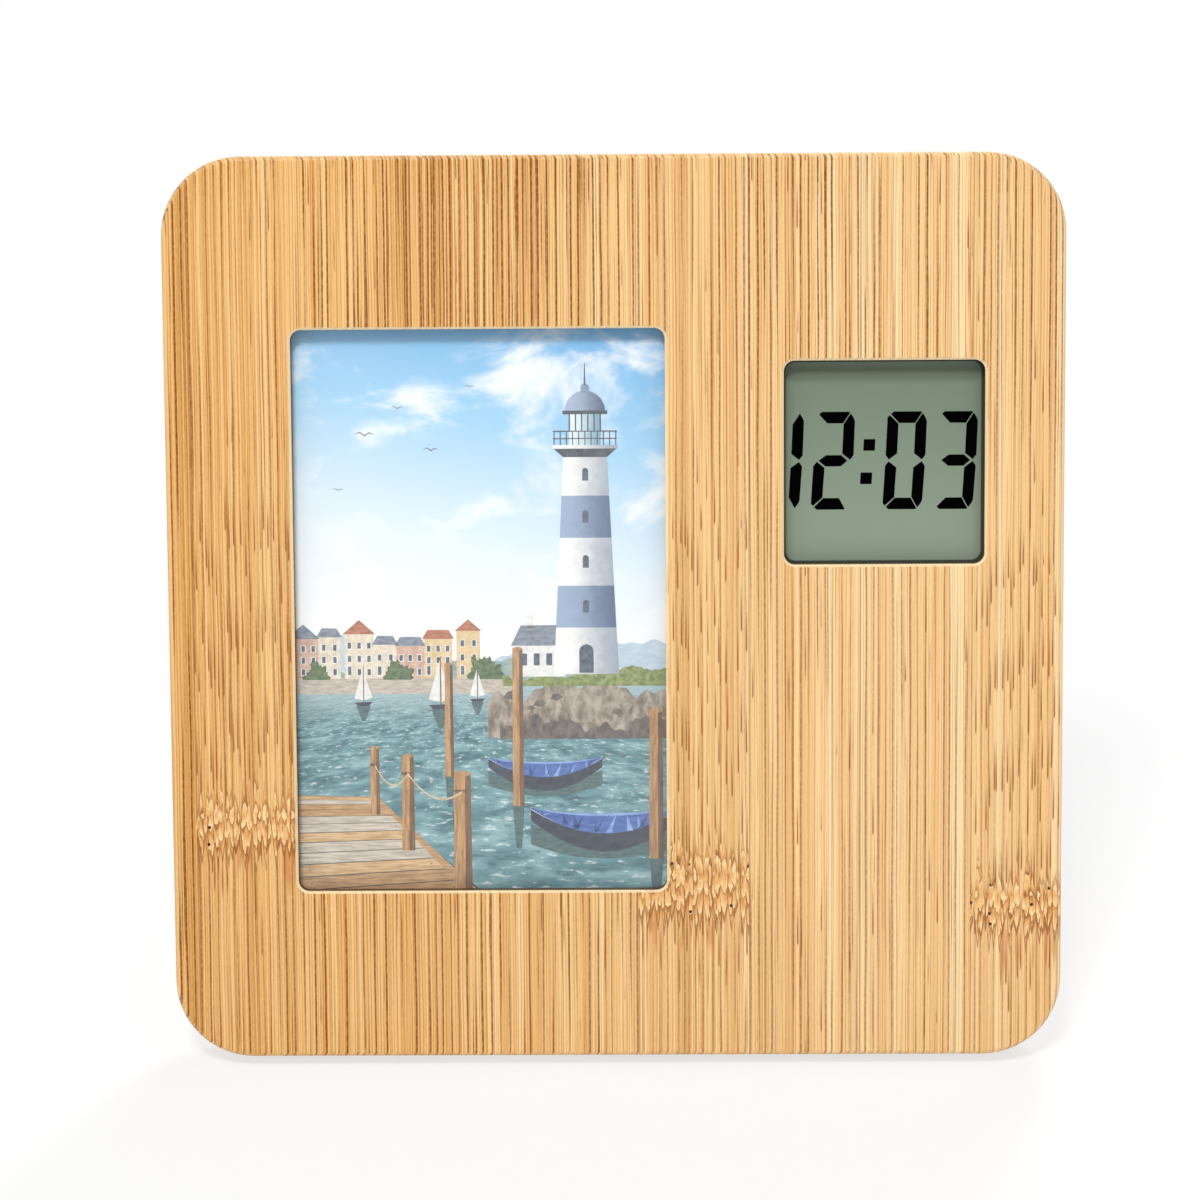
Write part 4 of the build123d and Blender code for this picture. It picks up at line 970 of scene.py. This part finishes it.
def moored_boat(view, chance, level, left, foot, length):
    """A boat under a folded cover, with its mirror image in the water."""
    line = partial(boat_line, left, foot, length)
    view.paint(level, "mirrored", line(-0.10, 0.10) + line(0.03, 0.10)[::-1])
    view.paint(level + 1, "hull", line(0.0, 0.16, -0.05) + line(0.09, 0.16)[::-1])
    view.paint(level + 2, "hull_trim", line(0.075, 0.16) + line(0.095, 0.16)[::-1])
    view.paint(level + 3, "cover", line(0.09, 0.15, -0.02) + line(0.09, 0.16, 0.11)[::-1])
    gunwale, crest = line(0.09, 0.15, -0.015), line(0.09, 0.16, 0.105)
    for step in range(1, BOAT_STEPS):
        base = gunwale[step + chance.choice((-1, 0))]
        shade = chance.choice(("cover_shade", "cover_light", "cover_shade"))
        far_base = (base[0] + chance.uniform(0.012, 0.045) * length, base[1])
        view.paint(level + 4, shade, [crest[step], base, far_base])
    view.paint(level + 5, "cover_light", line(0.09, 0.16, 0.10) + line(0.09, 0.16, 0.118)[::-1])


def post(view, level, middle, foot, top, half):
    """A round wooden post, dark on its right, with a lit top."""
    view.paint(level, "post", taper(middle, foot, top, half, 0.88 * half))
    view.paint(level + 1, "post_shade", [(middle + 0.22 * half, foot), (middle + half, foot),
                                         (middle + 0.88 * half, top), (middle + 0.3 * half, top)])
    view.paint(level + 2, "post", oval(middle, top, 0.88 * half, 0.3 * half))


def boats(view, chance):
    sail_boats(view)
    moored_boat(view, chance, 14, 36.0, 20.5, 19.0)
    moored_boat(view, chance, 20, 43.0, 10.5, 25.0)
    for level, middle, foot, top, half in ((14, 29.5, 22.0, 41.0, 0.75), (20, 41.0, 17.0, 43.5, 0.95),
                                           (26, 64.0, 8.0, 33.0, 1.2)):
        view.paint(level, "mirrored", taper(middle, foot - 0.27 * (top - foot), foot, half / 2, half))
        post(view, level + 1, middle, foot, top, half)


PLANKS = ("plank_tan", "plank_grey", "plank_brown")
DECK_ROWS = 13
NAIL_SHARES = (0.2, 0.9)
JETTY_POSTS = ((17.0, 15.6, 27.0, 0.8), (22.5, 9.5, 25.5, 1.1), (31.6, 0.0, 22.5, 1.55))
ROPE_STEPS = 12
ROPE_SAG = 2.6
ROPE_HALF = 0.17


def deck_joint(row):
    """Left and right end of a joint between planks; far joints lie closer together."""
    near = (row / DECK_ROWS) ** 1.7
    return Vector((0.0, 19.0 - 19.0 * near)), Vector((17.4 + 17.0 * near, 18.6 - 16.2 * near))


def deck(view, chance):
    """Planks with their nails, the beam along their ends and the dark below."""
    view.paint(14, "under", [(0, 18.0), (18.0, 17.6), (37.5, 0), (0, 0)])
    for row in range(DECK_ROWS):
        far, close = deck_joint(row), deck_joint(row + 0.93)
        view.paint(15, chance.choice(PLANKS), [far[0], far[1], close[1], close[0]])
        size = 0.05 + 0.012 * row
        for share in NAIL_SHARES:
            nail = (far[0].lerp(far[1], share) + close[0].lerp(close[1], share)) / 2
            view.paint(16, "post_shade", oval(nail.x, nail.y, size, size * 0.6, steps=4))
    far_end, near_end = deck_joint(0)[1], deck_joint(DECK_ROWS)[1]
    below = [near_end + Vector((0.3, -2.4)), far_end + Vector((0.1, -0.9))]
    view.paint(16, "plank_brown", [far_end, near_end, *below])


def hanging_rope(start, end):
    """A rope that sags between two places."""
    upper, lower = [], []
    for step in range(ROPE_STEPS + 1):
        share = step / ROPE_STEPS
        along, up = Vector(start).lerp(Vector(end), share)
        sag = 4 * share * (1 - share) * ROPE_SAG
        upper.append((along, up - sag + ROPE_HALF))
        lower.append((along, up - sag - ROPE_HALF))
    return lower + upper[::-1]


def jetty(view, chance):
    deck(view, chance)
    for number, (middle, foot, top, half) in enumerate(JETTY_POSTS):
        level = 17 + 4 * number
        post(view, level, middle, foot, top, half)
        view.paint(level + 2, "post_shade", box(middle - half, top - 3.2, middle + half, top - 2.7))
    ties = [(middle, top - 3.0) for middle, foot, top, half in JETTY_POSTS]
    for start, end in zip(ties, ties[1:]):
        view.paint(28, "rope", hanging_rope(start, end))


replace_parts(print_sheet(), "photo_print")
CHANCE = random.Random(11)
DRAWINGS = {"village": village, "lighthouse": lighthouse, "boats": boats, "jetty": jetty}
for drawing, draw in DRAWINGS.items():
    picture = Picture()
    draw(picture, CHANCE)
    picture.finish("print_" + drawing, "print_paper")

# Stage: pale floor, soft light from above and a white surround
AMBIENT = 0.45
FLOOR_HALF = 3.0


def light_floor():
    """A matt floor that keeps the object's shadow and is white further off."""
    floor = Finish("pale_floor")
    place = floor.add("TexCoord", {}, "Object")
    distance = floor.add("VectorMath", {0: place}, "Value", operation="LENGTH")
    far = floor.weighted(0.70, (floor.fade(distance, 0.20, 0.6), 0.30))
    floor.dress((0.86, 0.86, 0.86, 1.0), 0.9)
    white = floor.add("Emission", {})
    seen = floor.times(far, floor.white_rays())
    shader = floor.add("MixShader", {0: seen, 1: floor.shader.outputs[0], 2: white})
    floor.feed(floor.tree.nodes["Material Output"].inputs["Surface"], shader)
    mesh = bpy.data.meshes.new("floor")
    corners = box(-FLOOR_HALF, -FLOOR_HALF, FLOOR_HALF, FLOOR_HALF)
    mesh.from_pydata([(x, y, 0) for x, y in corners], [], [(0, 1, 2, 3)])
    mesh.materials.append(floor.material)
    link("floor", mesh)


def surround():
    """Even light from all sides, shown as white to the camera, to metal and through glass."""
    world = bpy.context.scene.world or bpy.data.worlds.new("surround")
    bpy.context.scene.world = world
    light = Nodes(world)
    background = light.tree.nodes["Background"].inputs
    light.feed(background["Color"], (1, 1, 1, 1))
    strength = light.add("MapRange", {"Value": light.white_rays(), "To Min": AMBIENT})
    light.feed(background["Strength"], strength)


def lamp(name, place, target, size, power):
    data = bpy.data.lights.new(name, "AREA")
    data.shape = "DISK"
    data.size = size
    data.energy = power
    light = link(name, data)
    light.location = place
    light.rotation_euler = (target - Vector(place)).to_track_quat("-Z", "Y").to_euler()


CENTRE = on_board(BOARD_WIDTH / 2, BOARD_HEIGHT / 2, 0)
light_floor()
surround()
lamp("key", (-0.15, -0.80, 1.15), CENTRE, 0.30, 12.0)
lamp("back_key", (0.35, 1.05, 0.95), CENTRE, 0.50, 9.0)

# Camera at the photograph's angle
CAMERA_PLACE = Vector((0.00573, -0.55296, 0.27937))
CAMERA_TARGET = Vector((-0.00248, -0.01200, 0.07709))
CAMERA_ROLL = math.radians(-0.6)
CAMERA_LENS = 105
camera_data = bpy.data.cameras.new("camera")
camera_data.lens = CAMERA_LENS
camera = link("camera", camera_data)
camera.location = CAMERA_PLACE
aim = (CAMERA_TARGET - CAMERA_PLACE).to_track_quat("-Z", "Y").to_matrix()
camera.rotation_euler = (aim @ Matrix.Rotation(CAMERA_ROLL, 3, "Z")).to_euler()
bpy.context.scene.camera = camera
bpy.context.scene.view_settings.view_transform = "Standard"
